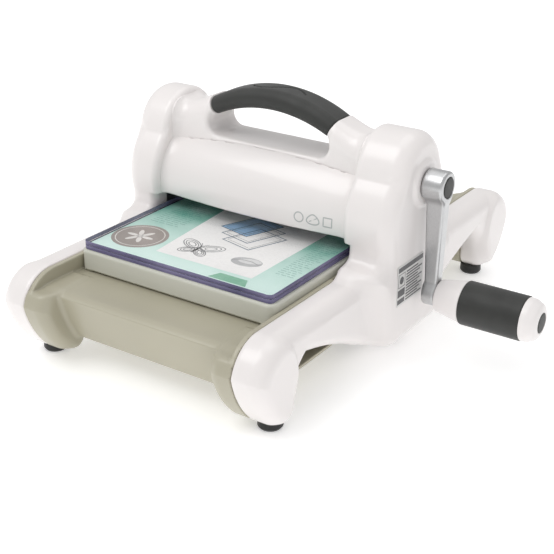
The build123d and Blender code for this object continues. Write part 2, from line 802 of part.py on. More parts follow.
with BuildPart() as crank_arm:
    with BuildSketch(Plane.XZ.offset(-arm_half_y)):
        with BuildLine():
            Polyline(
                (arm_inner_x, crank_z),
                (hub_outer_x - 0.5, crank_z),
                (hub_outer_x - 1.2, crank_z - 18),
                (boss_outer_x - 0.5, grip_axis_z + 4),
                (boss_inner_x + 0.8, grip_axis_z + 4),
                (arm_inner_x, crank_z - 18),
                close=True,
            )
        make_face()
    extrude(amount=2 * arm_half_y)
    fillet(crank_arm.edges().filter_by(lambda e: e.length > 40 and e.length < 60), 1.8)
    with BuildSketch(Plane.YZ.offset(boss_inner_x)):
        with Locations((0, grip_axis_z)):
            RectangleRounded(16, 17, 7)
    extrude(amount=boss_outer_x - boss_inner_x)
    with BuildPart(mode=Mode.PRIVATE) as hub:
        with BuildSketch(Plane.YZ.offset(hub_inner_x)):
            with Locations((0, crank_z)):
                Circle(hub_r)
        extrude(amount=hub_outer_x - hub_inner_x)
        fillet(hub.faces().sort_by(Axis.X)[-1].edges(), 2)
    add(hub.part)
    for start_x, end_x, radius in (
        (hub_inner_x - 1, hub_floor_x, bore_r),
        (hub_floor_x, hub_floor_x + 2, 2.6),
        (hub_floor_x + 2, hub_outer_x + 1, 7.4),
    ):
        with BuildSketch(Plane.YZ.offset(start_x)):
            with Locations((0, crank_z)):
                Circle(radius)
        extrude(amount=end_x - start_x, mode=Mode.SUBTRACT)
    with BuildSketch(Plane.YZ.offset(boss_inner_x - 1)):
        with Locations((0, grip_axis_z)):
            Circle(3.05)
    extrude(amount=20, mode=Mode.SUBTRACT)
crank_arm.part.label = "crank_arm"
export_step(crank_arm.part, "parts/crank_arm.step")

with BuildPart() as hub_screw:
    with BuildSketch(Plane.YZ.offset(hub_floor_x + 2.05)):
        with Locations((0, crank_z)):
            Circle(4.5)
            RegularPolygon(2, 6, mode=Mode.SUBTRACT)
    extrude(amount=2.4)
    with BuildSketch(Plane.YZ.offset(hub_floor_x - 10)):
        with Locations((0, crank_z)):
            Circle(2.45)
    extrude(amount=12.5)
hub_screw.part.label = "hub_screw"
export_step(hub_screw.part, "parts/hub_screw.step")

with BuildPart() as hub_cap:
    with BuildSketch(Plane.YZ.offset(hub_floor_x + 4.6)):
        with Locations((0, crank_z)):
            Circle(7.35)
    extrude(amount=2)
    fillet(hub_cap.faces().sort_by(Axis.X)[-1].edges(), 0.9)
hub_cap.part.label = "hub_cap"
export_step(hub_cap.part, "parts/hub_cap.step")

# ---- Turning hand grip -----------------------------------------------------------------------
grip_start_x = boss_outer_x + 0.3
collar_end_x = 155.0
sleeve_end_x = 199.0
grip_end_x = 210.0
grip_r = 15.3
sleeve_r = 15.6
core_r = 12.0
collar_start_r = 11.0
spindle_r = 4.0
spindle_head_x = 203.0
grip_axis = Axis((0, 0, grip_axis_z), (1, 0, 0))

with BuildPart() as grip_spindle:
    with BuildSketch(Plane.YZ.offset(boss_inner_x + 0.5)):
        with Locations((0, grip_axis_z)):
            Circle(3.0)
    extrude(amount=boss_outer_x - boss_inner_x)
    with BuildSketch(Plane.YZ.offset(boss_outer_x + 0.05)):
        with Locations((0, grip_axis_z)):
            Circle(spindle_r)
    extrude(amount=spindle_head_x - boss_outer_x)
    with BuildSketch(Plane.YZ.offset(spindle_head_x + 0.05)):
        with Locations((0, grip_axis_z)):
            Circle(6.4)
            RegularPolygon(2.5, 6, mode=Mode.SUBTRACT)
    extrude(amount=2.6)
grip_spindle.part.label = "grip_spindle"
export_step(grip_spindle.part, "parts/grip_spindle.step")

with BuildPart() as grip_core:
    with BuildSketch(Plane.XZ):
        with BuildLine():
            Polyline(
                (grip_start_x, grip_axis_z + spindle_r + 0.06),
                (grip_start_x, grip_axis_z + collar_start_r - 1),
                (grip_start_x + 1, grip_axis_z + collar_start_r),
                (collar_end_x, grip_axis_z + grip_r),
            )
            Polyline(
                (collar_end_x, grip_axis_z + grip_r),
                (collar_end_x, grip_axis_z + core_r),
                (sleeve_end_x, grip_axis_z + core_r),
                (sleeve_end_x, grip_axis_z + 9),
                (spindle_head_x - 0.1, grip_axis_z + 9),
                (spindle_head_x - 0.1, grip_axis_z + spindle_r + 0.06),
                (grip_start_x, grip_axis_z + spindle_r + 0.06),
            )
        make_face()
    revolve(axis=grip_axis)
grip_core.part.label = "grip_core"
export_step(grip_core.part, "parts/grip_core.step")

with BuildPart() as grip_sleeve:
    with BuildSketch(Plane.YZ.offset(collar_end_x + 0.05)):
        with Locations((0, grip_axis_z)):
            Circle(sleeve_r)
            Circle(core_r + 0.05, mode=Mode.SUBTRACT)
    extrude(amount=sleeve_end_x - collar_end_x - 0.1)
    fillet(grip_sleeve.edges().filter_by(GeomType.CIRCLE).group_by(SortBy.RADIUS)[-1], 0.8)
grip_sleeve.part.label = "grip_sleeve"
export_step(grip_sleeve.part, "parts/grip_sleeve.step")

with BuildPart() as grip_end_cap:
    with BuildSketch(Plane.XZ):
        with BuildLine():
            Line((sleeve_end_x + 0.05, grip_axis_z + 9.05), (sleeve_end_x + 0.05, grip_axis_z + grip_r))
            Spline(
                (sleeve_end_x + 0.05, grip_axis_z + grip_r),
                (sleeve_end_x + 5, grip_axis_z + 14.6),
                (grip_end_x - 2, grip_axis_z + 11.6),
                (grip_end_x, grip_axis_z + 7.9),
            )
            Polyline(
                (grip_end_x, grip_axis_z + 7.9),
                (grip_end_x, grip_axis_z + 7.2),
                (spindle_head_x + 0.05, grip_axis_z + 7.2),
                (spindle_head_x + 0.05, grip_axis_z + 9.05),
                (sleeve_end_x + 0.05, grip_axis_z + 9.05),
            )
        make_face()
    revolve(axis=grip_axis)
grip_end_cap.part.label = "grip_end_cap"
export_step(grip_end_cap.part, "parts/grip_end_cap.step")

with BuildPart() as grip_plug:
    with BuildSketch(Plane.YZ.offset(grip_end_x - 3)):
        with Locations((0, grip_axis_z)):
            Circle(7.15)
    extrude(amount=3.2)
    fillet(grip_plug.faces().sort_by(Axis.X)[-1].edges(), 0.8)
grip_plug.part.label = "grip_plug"
export_step(grip_plug.part, "parts/grip_plug.step")

# ---- Platform, cutting pads and card ---------------------------------------------------------
with BuildPart() as platform:
    with BuildSketch(Plane.XY.offset(nip_low_z)):
        RectangleRounded(2 * platform_half_x, 2 * platform_half_y, 6)
    extrude(amount=platform_t)
    fillet(platform.faces().sort_by(Axis.Z)[-1].edges(), 1.5)
platform.part.label = "platform"
export_step(platform.part, "parts/platform.step")

pad_low_z = nip_low_z + platform_t + 0.01
pad_centre_y = pad_front_y + pad_length / 2

with BuildPart() as lower_cutting_pad:
    with BuildSketch(Plane.XY.offset(pad_low_z)):
        with Locations((0, pad_centre_y)):
            RectangleRounded(2 * pad_half_x, pad_length, 5)
    extrude(amount=pad_t)
    chamfer(lower_cutting_pad.faces().sort_by(Axis.Z)[-1].edges(), 0.4)
lower_cutting_pad.part.label = "lower_cutting_pad"
export_step(lower_cutting_pad.part, "parts/lower_cutting_pad.step")

with BuildPart() as printed_card:
    with BuildSketch(Plane.XY.offset(pad_low_z + pad_t + 0.01)):
        with Locations((0, pad_centre_y)):
            RectangleRounded(2 * pad_half_x - 4, pad_length - 4, 3)
    extrude(amount=card_t)
printed_card.part.label = "printed_card"
export_step(printed_card.part, "parts/printed_card.step")

with BuildPart() as upper_cutting_pad:
    with BuildSketch(Plane.XY.offset(pad_low_z + pad_t + card_t + 0.02)):
        with Locations((0, pad_centre_y)):
            RectangleRounded(2 * pad_half_x, pad_length, 5)
    extrude(amount=pad_t)
    chamfer(upper_cutting_pad.faces().sort_by(Axis.Z)[-1].edges(), 0.4)
upper_cutting_pad.part.label = "upper_cutting_pad"
export_step(upper_cutting_pad.part, "parts/upper_cutting_pad.step")
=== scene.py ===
import json
import math

import bmesh
import bpy
import numpy as np
from mathutils import Matrix, Vector


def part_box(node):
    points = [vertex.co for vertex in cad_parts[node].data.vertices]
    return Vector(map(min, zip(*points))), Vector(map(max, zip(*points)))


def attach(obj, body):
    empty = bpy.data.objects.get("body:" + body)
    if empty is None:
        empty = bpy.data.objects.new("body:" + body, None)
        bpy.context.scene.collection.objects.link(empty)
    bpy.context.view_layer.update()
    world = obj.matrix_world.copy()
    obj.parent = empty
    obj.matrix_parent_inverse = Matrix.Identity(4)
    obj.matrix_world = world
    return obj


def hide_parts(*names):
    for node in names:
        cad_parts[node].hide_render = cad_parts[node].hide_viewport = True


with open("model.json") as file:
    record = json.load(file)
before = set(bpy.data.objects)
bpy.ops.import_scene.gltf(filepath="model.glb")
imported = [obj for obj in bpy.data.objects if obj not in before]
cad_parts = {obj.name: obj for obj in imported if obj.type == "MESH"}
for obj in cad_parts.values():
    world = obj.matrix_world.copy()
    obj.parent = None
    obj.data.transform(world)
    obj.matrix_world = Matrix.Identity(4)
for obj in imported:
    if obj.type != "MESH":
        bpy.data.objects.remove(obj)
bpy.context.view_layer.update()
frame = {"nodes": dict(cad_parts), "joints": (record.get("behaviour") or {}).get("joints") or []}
MM = 0.001  # lengths below are millimetres, and meshes are made in metres


# ---- Measures taken from the frame ----
def box_mm(node):
    """Lowest and highest corner of a CAD node in millimetres."""
    low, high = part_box(node)
    return [c / MM for c in low], [c / MM for c in high]


def joint_z(name):
    """Height of a hinge's axis in millimetres."""
    return next(j for j in frame["joints"] if j["name"] == name)["pos_m"][2] / MM


right_low, right_high = box_mm("right_side_cover")
left_low = box_mm("left_side_cover")[0]
tray_low, tray_high = box_mm("front_tray")
platform_low, platform_high = box_mm("platform")
pad_low, pad_high = box_mm("lower_cutting_pad")
top_pad_low, top_pad_high = box_mm("upper_cutting_pad")
barrel_low, barrel_high = box_mm("front_cover")
neck_low, neck_high = box_mm("top_cover")
carry_low, carry_high = box_mm("carry_grip")
label_low, label_high = box_mm("side_label")
arm_low, arm_high = box_mm("crank_arm")

CRANK_Z = joint_z("crank_turn")
GRIP_Z = joint_z("grip_spin")
ROLLER_Z = joint_z("upper_roller_turn")
TOWER_IN = right_low[0]
TOWER_OUT_RIGHT = label_low[0]
LEFT_TRIM = 2.0  # the visible left shell is this much slimmer than the CAD one
TOWER_OUT_LEFT = -left_low[0] - LEFT_TRIM
UPPER_Z = 128.8  # centre height of a tower's upper lobe
UPPER_R = right_high[2] - UPPER_Z
LOWER_Z = 99.0  # centre height and radius of the lower lobe
LOWER_R = 44.5
LOBE_IN = 80.0  # the lobes reach in over the platform this far
LOBE_LOW = 87  # height above which they do
WALL = 3.0  # moulded wall thickness
GAP = 0.1  # clearance between pieces that meet
SEAM = tray_high[0]  # where the grey trays meet the white covers
DECK = platform_low[2] - GAP  # top face of the trays, just below the platform
LEG_LOW = tray_low[2]
PAW_FRONT = -tray_low[1]
PAW_BACK = 137.0
RAIL_TOP = 68.5
COLUMN_LOW = 10.0  # underside of the towers' columns
COVER_HALF = barrel_high[0]
COVER_LOW = barrel_low[2]
BARREL_END_R = 35.4  # radius of the bowed covers at their ends and in the middle
BARREL_MID_R = 41.0
NECK_HALF = neck_high[1]
GRIP_TOP = carry_high[2]
FOOT_X = 92.7
FOOT_Y = 146.0
RIM_R = 0.5  # edge rounding of thin walls, and of drilled holes
HOLE_RIM_R = 0.3


# ---- Distance fields and meshes ----
def both(a, b, r):
    """Where two solids overlap, with the shared edge rounded to radius r."""
    u, v = np.maximum(a + r, 0), np.maximum(b + r, 0)
    return np.minimum(np.maximum(a, b), -r) + np.sqrt(u * u + v * v)


def either(a, b, r):
    """Two solids joined, with a fillet of radius r in the corner between them."""
    u, v = np.maximum(r - a, 0), np.maximum(r - b, 0)
    return np.maximum(np.minimum(a, b), r) - np.sqrt(u * u + v * v)


def without(a, b, r):
    """Solid a with solid b cut away, and the cut's edge rounded."""
    return both(a, -b, r)


def line(u, v, start, end):
    """Signed distance to the line from start to end, positive on its left."""
    du, dv = end[0] - start[0], end[1] - start[1]
    length = math.hypot(du, dv)
    return ((v - start[1]) * du - (u - start[0]) * dv) / length


def slab(u, low, high):
    """Distance to the space between two planes."""
    return np.maximum(low - u, u - high)


def net(field, low, high, cell):
    """Vertices and quads of the surface where field is zero, by surface nets, then pulled onto it."""
    axes = [np.arange(start - 2 * cell, end + 3 * cell, cell) for start, end in zip(low, high)]
    grid = np.meshgrid(*axes, indexing="ij", sparse=True)
    value = np.broadcast_to(field(*grid), [len(a) for a in axes]).astype(np.float32)
    inside = value < 0
    count = np.zeros([n - 1 for n in value.shape], np.int8)
    corners = [(i, j, k) for i in (0, 1) for j in (0, 1) for k in (0, 1)]
    size = count.shape

    def at(array, offset):
        return array[offset[0]:offset[0] + size[0], offset[1]:offset[1] + size[1],
                     offset[2]:offset[2] + size[2]]

    for corner in corners:
        count += at(inside, corner)
    active = (count > 0) & (count < 8)
    where = np.argwhere(active)
    index = np.full(size, -1, np.int64)
    index[active] = np.arange(len(where))
    total = np.zeros((len(where), 3))
    crossings = np.zeros(len(where))
    for a in corners:
        for axis in range(3):
            if a[axis]:
                continue
            b = tuple(c + (k == axis) for k, c in enumerate(a))
            va, vb = at(value, a)[active], at(value, b)[active]
            crossed = (va < 0) != (vb < 0)
            t = np.where(crossed, va / np.where(crossed, va - vb, 1), 0)
            point = np.array(a, float)[None, :].repeat(len(where), 0)
            point[:, axis] += t
            total += point * crossed[:, None]
            crossings += crossed
    verts = (where + total / crossings[:, None]) * cell + np.array([a[0] for a in axes])

    quads = []
    for axis in range(3):
        u, v = (axis + 1) % 3, (axis + 2) % 3
        lower = [slice(1, n - 1) for n in value.shape]
        upper = list(lower)
        lower[axis], upper[axis] = slice(0, value.shape[axis] - 1), slice(1, value.shape[axis])
        first, second = inside[tuple(lower)], inside[tuple(upper)]
        for flip, mask in ((False, first & ~second), (True, second & ~first)):
            cells = np.argwhere(mask) + np.array([0 if k == axis else 1 for k in range(3)])
            ring = []
            for du, dv in ((0, 0), (-1, 0), (-1, -1), (0, -1)):
                shift = np.zeros(3, int)
                shift[u], shift[v] = du, dv
                ring.append(index[tuple((cells + shift).T)])
            quad = np.stack(ring, 1)
            quads.append(quad[:, ::-1] if flip else quad)
    quads = np.concatenate(quads)

    verts = pull(field, verts, cell, 2)
    for _ in range(2):
        verts = pull(field, relax(verts, quads), cell, 2)
    return verts, quads


def slope_at(field, verts):
    """Value and gradient of a field at each vertex."""
    step = 0.02
    here = field(*verts.T)
    ahead = [field(*(verts + step * axis).T) for axis in np.eye(3)]
    return here, np.stack([(value - here) / step for value in ahead], 1)


def pull(field, verts, cell, rounds):
    """Moves vertices onto the surface, along the field's gradient."""
    for _ in range(rounds):
        here, slope = slope_at(field, verts)
        move = -(here / np.maximum((slope * slope).sum(1), 0.25))[:, None] * slope
        reach = np.linalg.norm(move, axis=1, keepdims=True)
        verts = verts + move * np.minimum(1, 0.4 * cell / np.maximum(reach, 1e-9))
    return verts


def relax(verts, quads, share=0.6):
    """Evens out the spacing of a net: every vertex goes part of the way to its neighbours' middle."""
    corners = [quads[:, k] for k in range(4)]
    following = corners[1:] + corners[:1]
    here = np.concatenate(corners + following)
    there = np.concatenate(following + corners)
    count = np.bincount(here, minlength=len(verts))
    middle = [np.bincount(here, verts[there, axis], len(verts)) / count for axis in range(3)]
    return verts + share * (np.stack(middle, 1) - verts)


def linked(name, data):
    """A new object in the scene."""
    made = bpy.data.objects.new(name, data)
    bpy.context.scene.collection.objects.link(made)
    return made


def mesh_object(name, verts, faces, smooth=True):
    """A mesh object from millimetre vertices."""
    mesh = bpy.data.meshes.new(name)
    if isinstance(faces, np.ndarray):
        faces = faces.tolist()
    mesh.from_pydata((np.asarray(verts) * MM).tolist(), [], faces)
    mesh.update()
    if smooth:
        mesh.polygons.foreach_set("use_smooth", [True] * len(mesh.polygons))
    return linked(name, mesh)


def flat_pieces(name, outlines, place):
    """A mesh of flat outlines; place turns an outline's (u, v) into a point in millimetres."""
    verts, faces = [], []
    for outline in outlines:
        faces.append(tuple(range(len(verts), len(verts) + len(outline))))
        verts += [place(u, v) for u, v in outline]
    return mesh_object(name, verts, faces, smooth=False)


def field_piece(name, field, low, high, cell):
    """A closed piece grown from a distance field, shaded with the field's own normals."""
    verts, quads = net(field, low, high, cell)
    piece = mesh_object(name, verts, quads)
    slope = slope_at(field, verts)[1]
    slope /= np.maximum(np.linalg.norm(slope, axis=1, keepdims=True), 1e-6)
    piece.data.normals_split_custom_set_from_vertices(slope.tolist())
    return piece


def paint(mesh, material):
    """Gives a mesh one material."""
    mesh.materials.clear()
    mesh.materials.append(material)


def finish_piece(piece, body, material, slot, *nodes):
    """Gives a piece its material and its body, and hides the CAD nodes it stands for."""
    paint(piece.data, material)
    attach(piece, body)
    if nodes:
        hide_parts(*nodes)
    return piece


# ---- Materials ----
class Finish:
    """Small helper that wires one procedural material."""

    def __init__(self, name):
        self.material = bpy.data.materials.new(name)
        self.material.use_nodes = True
        self.tree = self.material.node_tree
        self.shader = self.tree.nodes["Principled BSDF"]
        self.output = self.tree.nodes["Material Output"]
        self.place = self.node("ShaderNodeTexCoord").outputs["Object"]

    def node(self, kind, **settings):
        made = self.tree.nodes.new(kind)
        for key, value in settings.items():
            setattr(made, key, value)
        return made

    def link(self, source, target):
        self.tree.links.new(source, target)

    def noise(self, per_metre, detail, stretch=(1, 1, 1)):
        mapping = self.node("ShaderNodeMapping")
        mapping.inputs["Scale"].default_value = stretch
        self.link(self.place, mapping.inputs["Vector"])
        noise = self.node("ShaderNodeTexNoise")
        noise.inputs["Scale"].default_value = per_metre
        noise.inputs["Detail"].default_value = detail
        self.link(mapping.outputs["Vector"], noise.inputs["Vector"])
        return noise.outputs["Fac"]

    def spread(self, source, low, high):
        """Maps 0.3-0.7 of a noise onto low-high."""
        return self.ramp(source, 0.3, 0.7, low, high)

    def ramp(self, source, from_low, from_high, to_low=0.0, to_high=1.0):
        """Maps one range onto another, held at both ends."""
        ramp = self.node("ShaderNodeMapRange")
        ramp.inputs["From Min"].default_value = from_low
        ramp.inputs["From Max"].default_value = from_high
        ramp.inputs["To Min"].default_value = to_low
        ramp.inputs["To Max"].default_value = to_high
        self.link(source, ramp.inputs["Value"])
        return ramp.outputs["Result"]

    def mix(self, factor, first, second):
        mix = self.node("ShaderNodeMix", data_type="RGBA")
        sockets = mix.inputs["Factor"], mix.inputs[6], mix.inputs[7]
        for socket, value in zip(sockets, (factor, first, second)):
            if isinstance(value, tuple):
                socket.default_value = (*value, 1)
            else:
                self.link(value, socket)
        return mix.outputs[2]

    def bump(self, height, distance):
        bump = self.node("ShaderNodeBump")
        bump.inputs["Distance"].default_value = distance
        bump.inputs["Strength"].default_value = 1.0
        self.link(height, bump.inputs["Height"])
        self.link(bump.outputs["Normal"], self.shader.inputs["Normal"])

    def edges(self):
        """0 on flats and hollows, 1 along worn convex edges."""
        return self.ramp(self.node("ShaderNodeNewGeometry").outputs["Pointiness"], 0.5, 0.62)

    def gloss(self, per_metre, detail, roughness, low, high):
        """Uneven roughness, between two shares of the given one."""
        uneven = self.spread(self.noise(per_metre, detail), roughness * low, roughness * high)
        self.link(uneven, self.shader.inputs["Roughness"])

    def maths(self, operation, first, second=None):
        """One step of arithmetic; each value is a socket or a number."""
        step = self.node("ShaderNodeMath", operation=operation)
        for socket, value in zip(step.inputs, (first, second)):
            if isinstance(value, float):
                socket.default_value = value
            elif value is not None:
                self.link(value, socket)
        return step.outputs[0]

    def blend(self, factor, first, second):
        """Mix of two shaders."""
        mixed = self.node("ShaderNodeMixShader")
        for socket, value in zip(mixed.inputs, (factor, first, second)):
            self.link(value, socket)
        return mixed.outputs["Shader"]


def scaled(colour, share, lift=0.0):
    """A colour made lighter or darker."""
    return tuple(min(1, c * share + lift) for c in colour)


PLASTIC_GRAIN = 0.00001  # heights of the surface grains, in metres
METAL_GRAIN = 0.00002
RUBBER_GRAIN = 0.00004
PAPER_GRAIN = 0.00001


def plastic(name, colour, roughness, coat, tint):
    """Moulded plastic: slight colour drift, orange-peel bump, uneven gloss and rubbed edges."""
    f = Finish(name)
    drift = f.spread(f.noise(18.0, 1.5), 0, 1)
    base = f.mix(drift, scaled(colour, 1 - tint), scaled(colour, 1 + tint))
    f.link(f.mix(f.edges(), base, scaled(colour, 1.08, 0.01)), f.shader.inputs["Base Color"])
    f.gloss(60.0, 1.5, roughness, 0.92, 1.1)
    f.shader.inputs["Coat Weight"].default_value = coat
    f.shader.inputs["Coat Roughness"].default_value = 0.12
    f.bump(f.noise(1800.0, 2.0), PLASTIC_GRAIN)
    return f.material


def metal(name, colour, roughness, stretch=(1, 1, 1), scale=900.0):
    """Machined or cast metal with a directional grain and darker, rougher patches."""
    f = Finish(name)
    f.shader.inputs["Metallic"].default_value = 1.0
    lines = f.noise(scale, 3.0, stretch)
    f.link(f.mix(f.spread(lines, 0, 1), scaled(colour, 0.82), colour), f.shader.inputs["Base Color"])
    f.gloss(90.0, 2.0, roughness, 0.88, 1.15)
    f.bump(lines, METAL_GRAIN)
    return f.material


def rubber(name, colour, roughness):
    """Soft-touch rubber with a fine pebble grain and paler handled edges."""
    f = Finish(name)
    drift = f.spread(f.noise(35.0, 5.0), 0, 1)
    base = f.mix(drift, scaled(colour, 0.9), scaled(colour, 1.12))
    f.link(f.mix(f.edges(), base, scaled(colour, 1.5)), f.shader.inputs["Base Color"])
    f.gloss(90.0, 4.0, roughness, 0.88, 1.12)
    f.shader.inputs["Sheen Weight"].default_value = 0.12
    f.bump(f.noise(2600.0, 2.0), RUBBER_GRAIN)
    return f.material


def clear_pad(name, violet, pale, clear):
    """Clear sheet seen through its faces, with the violet that gathers in its cut edges, and paler
    violet patches on those edges as painted highlights.
    """
    f = Finish(name)
    # Painted highlight: noise mixes the edges' violet with a paler violet in patches.
    f.link(f.mix(f.spread(f.noise(26.0, 4.0), 0, 1), violet, pale), f.shader.inputs["Base Color"])
    f.shader.inputs["Roughness"].default_value = 0.18
    geometry = f.node("ShaderNodeNewGeometry")
    split = f.node("ShaderNodeSeparateXYZ")
    f.link(geometry.outputs["True Normal"], split.inputs["Vector"])
    face = f.maths("GREATER_THAN", f.maths("ABSOLUTE", split.outputs["Z"]), 0.9)
    through = f.node("ShaderNodeBsdfTransparent")
    through.inputs["Color"].default_value = (*clear, 1)
    gloss = f.node("ShaderNodeBsdfGlossy")
    scuffs = f.spread(f.noise(220.0, 6.0, (1, 0.25, 1)), 0.05, 0.22)
    f.link(scuffs, gloss.inputs["Roughness"])
    fresnel = f.node("ShaderNodeFresnel")
    fresnel.inputs["IOR"].default_value = 1.45
    outside = f.maths("SUBTRACT", 1.0, geometry.outputs["Backfacing"])
    soft = f.maths("MULTIPLY", fresnel.outputs["Fac"], outside)
    sheet = f.blend(soft, through.outputs["BSDF"], gloss.outputs["BSDF"])
    whole = f.blend(face, f.shader.outputs["BSDF"], sheet)
    f.link(whole, f.output.inputs["Surface"])
    f.bump(f.noise(400.0, 4.0), METAL_GRAIN)
    return f.material


def ink(name, colour, roughness=0.45):
    """Printed ink on card: faint mottling from the paper's fibres."""
    f = Finish(name)
    mottle = f.spread(f.noise(700.0, 5.0), 0, 1)
    f.link(f.mix(mottle, scaled(colour, 0.93), colour), f.shader.inputs["Base Color"])
    f.shader.inputs["Roughness"].default_value = roughness
    f.bump(f.noise(2500.0, 3.0), PAPER_GRAIN)
    return f.material


white = plastic("white_gloss_plastic", (0.85, 0.812, 0.8), 0.3, coat=0.35, tint=0.012)
grip_white = plastic("white_grip_plastic", (0.86, 0.825, 0.815), 0.32, coat=0.25, tint=0.012)
grey = plastic("grey_tray_plastic", (0.43, 0.405, 0.31), 0.38, coat=0.2, tint=0.035)
light_grey = plastic("platform_plastic", (0.58, 0.58, 0.51), 0.36, coat=0.2, tint=0.03)
dark_rubber = rubber("dark_grip_rubber", (0.021, 0.022, 0.02), 0.55)
foot_rubber = rubber("black_foot_rubber", (0.008, 0.008, 0.008), 0.5)
aluminium = metal("satin_aluminium", (0.62, 0.625, 0.63), 0.32, (6, 6, 0.6))
steel = metal("turned_steel", (0.6, 0.61, 0.63), 0.28, (8, 1, 1))
plate_steel = metal("zinc_plate_steel", (0.5, 0.51, 0.53), 0.42)
roller_steel = metal("ground_roller_steel", (0.66, 0.67, 0.69), 0.22, (10, 0.5, 0.5))
gear_steel = metal("cut_gear_steel", (0.42, 0.42, 0.43), 0.38)
bronze = metal("sintered_bronze", (0.55, 0.38, 0.18), 0.45, scale=2500.0)
# The second colour is the paler violet of the painted highlights on the pad edges.
pad_clear = clear_pad("clear_pad_violet_edge", (0.07, 0.065, 0.15), (0.2, 0.18, 0.32),
                      (0.99, 0.995, 0.995))

cad_finish = {
    steel: ["tie_rods", "tie_rod_nuts", "frame_screws", "foot_screws", "crank_shaft", "pinion_pin",
            "hub_screw", "grip_spindle", "upper_keys", "upper_retaining_rings", "lower_key",
            "lower_retaining_rings"],
    plate_steel: ["left_side_frame", "right_side_frame"],
    roller_steel: ["upper_roller", "lower_roller"],
    gear_steel: ["crank_pinion", "drive_gear", "upper_timing_gear", "lower_timing_gear"],
    bronze: ["roller_bushes", "crank_inner_bush", "crank_outer_bush"],
}
for material, nodes in cad_finish.items():
    for node in nodes:
        paint(frame["nodes"][node].data, material)


# ---- White side covers ----
PAW_SOLE = ((152, LEG_LOW - 0.3), (175, 21))  # slanted underside of a paw, as (y, z)
PAW_TOP_R = 29  # rounding of a paw above its front, below it and at the sole
PAW_TOE_R = 25
PAW_SOLE_R = 8
MID_FOOT_REACH = 90  # the column's foot is higher than the paws' within this distance
UNDER_ROOF = 49  # height of the open arch between column and paw
UNDER_RAMP = ((40, COLUMN_LOW), (104, UNDER_ROOF))
UNDER_BACK_R = 33
UNDER_RAMP_R = 30
UNDER_EDGE_R = 13
LOBE_CREASE_R = 1
FLANK = ((58, 72), (45, 38))  # slanted sides of the column, as (y, z)
HEEL = ((47, 42), (33, 8))
FLANK_TOP = 74
FLANK_R = 8
HEEL_R = 9
SHOULDER_R = 14  # fillet between lobes and column
TOWER_EDGE_R = 12
TOWER_LIP_R = 5
RAIL_FACE = 106.3  # outer face of the rails
RAIL_EDGE_R = 11
RAIL_FILLET = 10
PAW_BULGE = 3.2  # the paws' outer faces swell by this much
PAW_MIDDLE = (159, 37)
PAW_REACH = (21.5, 31.0)
SEAM_HALF = 55  # the trays start at this distance from the middle


def rail_outline(Y, z):
    """Side outline of rail and paw; Y is the distance from the machine's middle."""
    front = Y - PAW_FRONT
    top = z - RAIL_TOP
    slope = -line(Y, z, *PAW_SOLE)
    floor = np.where(Y < MID_FOOT_REACH, COLUMN_LOW, LEG_LOW) - z
    envelope = np.maximum(both(top, front, PAW_TOP_R), both(front, slope, PAW_TOE_R))
    envelope = np.maximum(envelope, both(slope, floor, PAW_SOLE_R))
    roof = z - UNDER_ROOF
    ramp = line(Y, z, *UNDER_RAMP)
    under = np.maximum(both(Y - PAW_BACK, roof, UNDER_BACK_R), both(roof, ramp, UNDER_RAMP_R))
    return both(envelope, -under, UNDER_EDGE_R)


def tower_outline(y, z):
    """Side outline of the two lobes and the column below them."""
    upper = np.hypot(y, z - UPPER_Z) - UPPER_R
    lower = np.hypot(y, z - LOWER_Z) - LOWER_R
    lobes = either(upper, lower, LOBE_CREASE_R)
    Y = np.abs(y)
    flank = line(Y, z, *FLANK)
    heel = line(Y, z, *HEEL)
    column = np.maximum(both(flank, z - FLANK_TOP, FLANK_R),
                        both(np.maximum(flank, heel), COLUMN_LOW - z, HEEL_R))
    return either(lobes, column, SHOULDER_R)


def side_outer(x, y, z, outer):
    """Outer shape of one side cover; x is measured outwards from the machine's middle."""
    Y = np.abs(y)
    tower = both(tower_outline(y, z), x - outer, TOWER_EDGE_R)
    reach = np.hypot((Y - PAW_MIDDLE[0]) / PAW_REACH[0], (z - PAW_MIDDLE[1]) / PAW_REACH[1])
    bulge = np.clip((1.12 - reach) / 0.24, 0, 1)
    face = RAIL_FACE + PAW_BULGE * bulge * bulge * (3 - 2 * bulge)
    rail = both(rail_outline(Y, z), x - face, RAIL_EDGE_R)
    whole = either(tower, rail, RAIL_FILLET)
    inner = np.where(z > LOBE_LOW, LOBE_IN, TOWER_IN) - x
    whole = both(whole, inner, TOWER_LIP_R)
    rail_room = np.maximum(x - SEAM - GAP, SEAM_HALF - Y)
    return without(whole, rail_room, RIM_R)


ROOM_IN = 86  # the hollow of a side cover starts here
HOLE_END = 88  # windows and holes in its inner wall end here
WINDOW_HALF = 27  # opening for rollers and tie rods
WINDOW_LOW, WINDOW_HIGH = 22, 116
SOCKET_R, SOCKET_TOP = 4.2, 14  # sockets of the feet
SCREW_R = 3.2
SCREW_HOLES = ((-12, 144), (12, 144), (-28, 18.5), (28, 18.5))
COLLAR_R = 16  # raised ring round the crank shaft, and the hole in it
CRANK_HOLE_R = 9.1
COLLAR_EDGE_R = 2.5


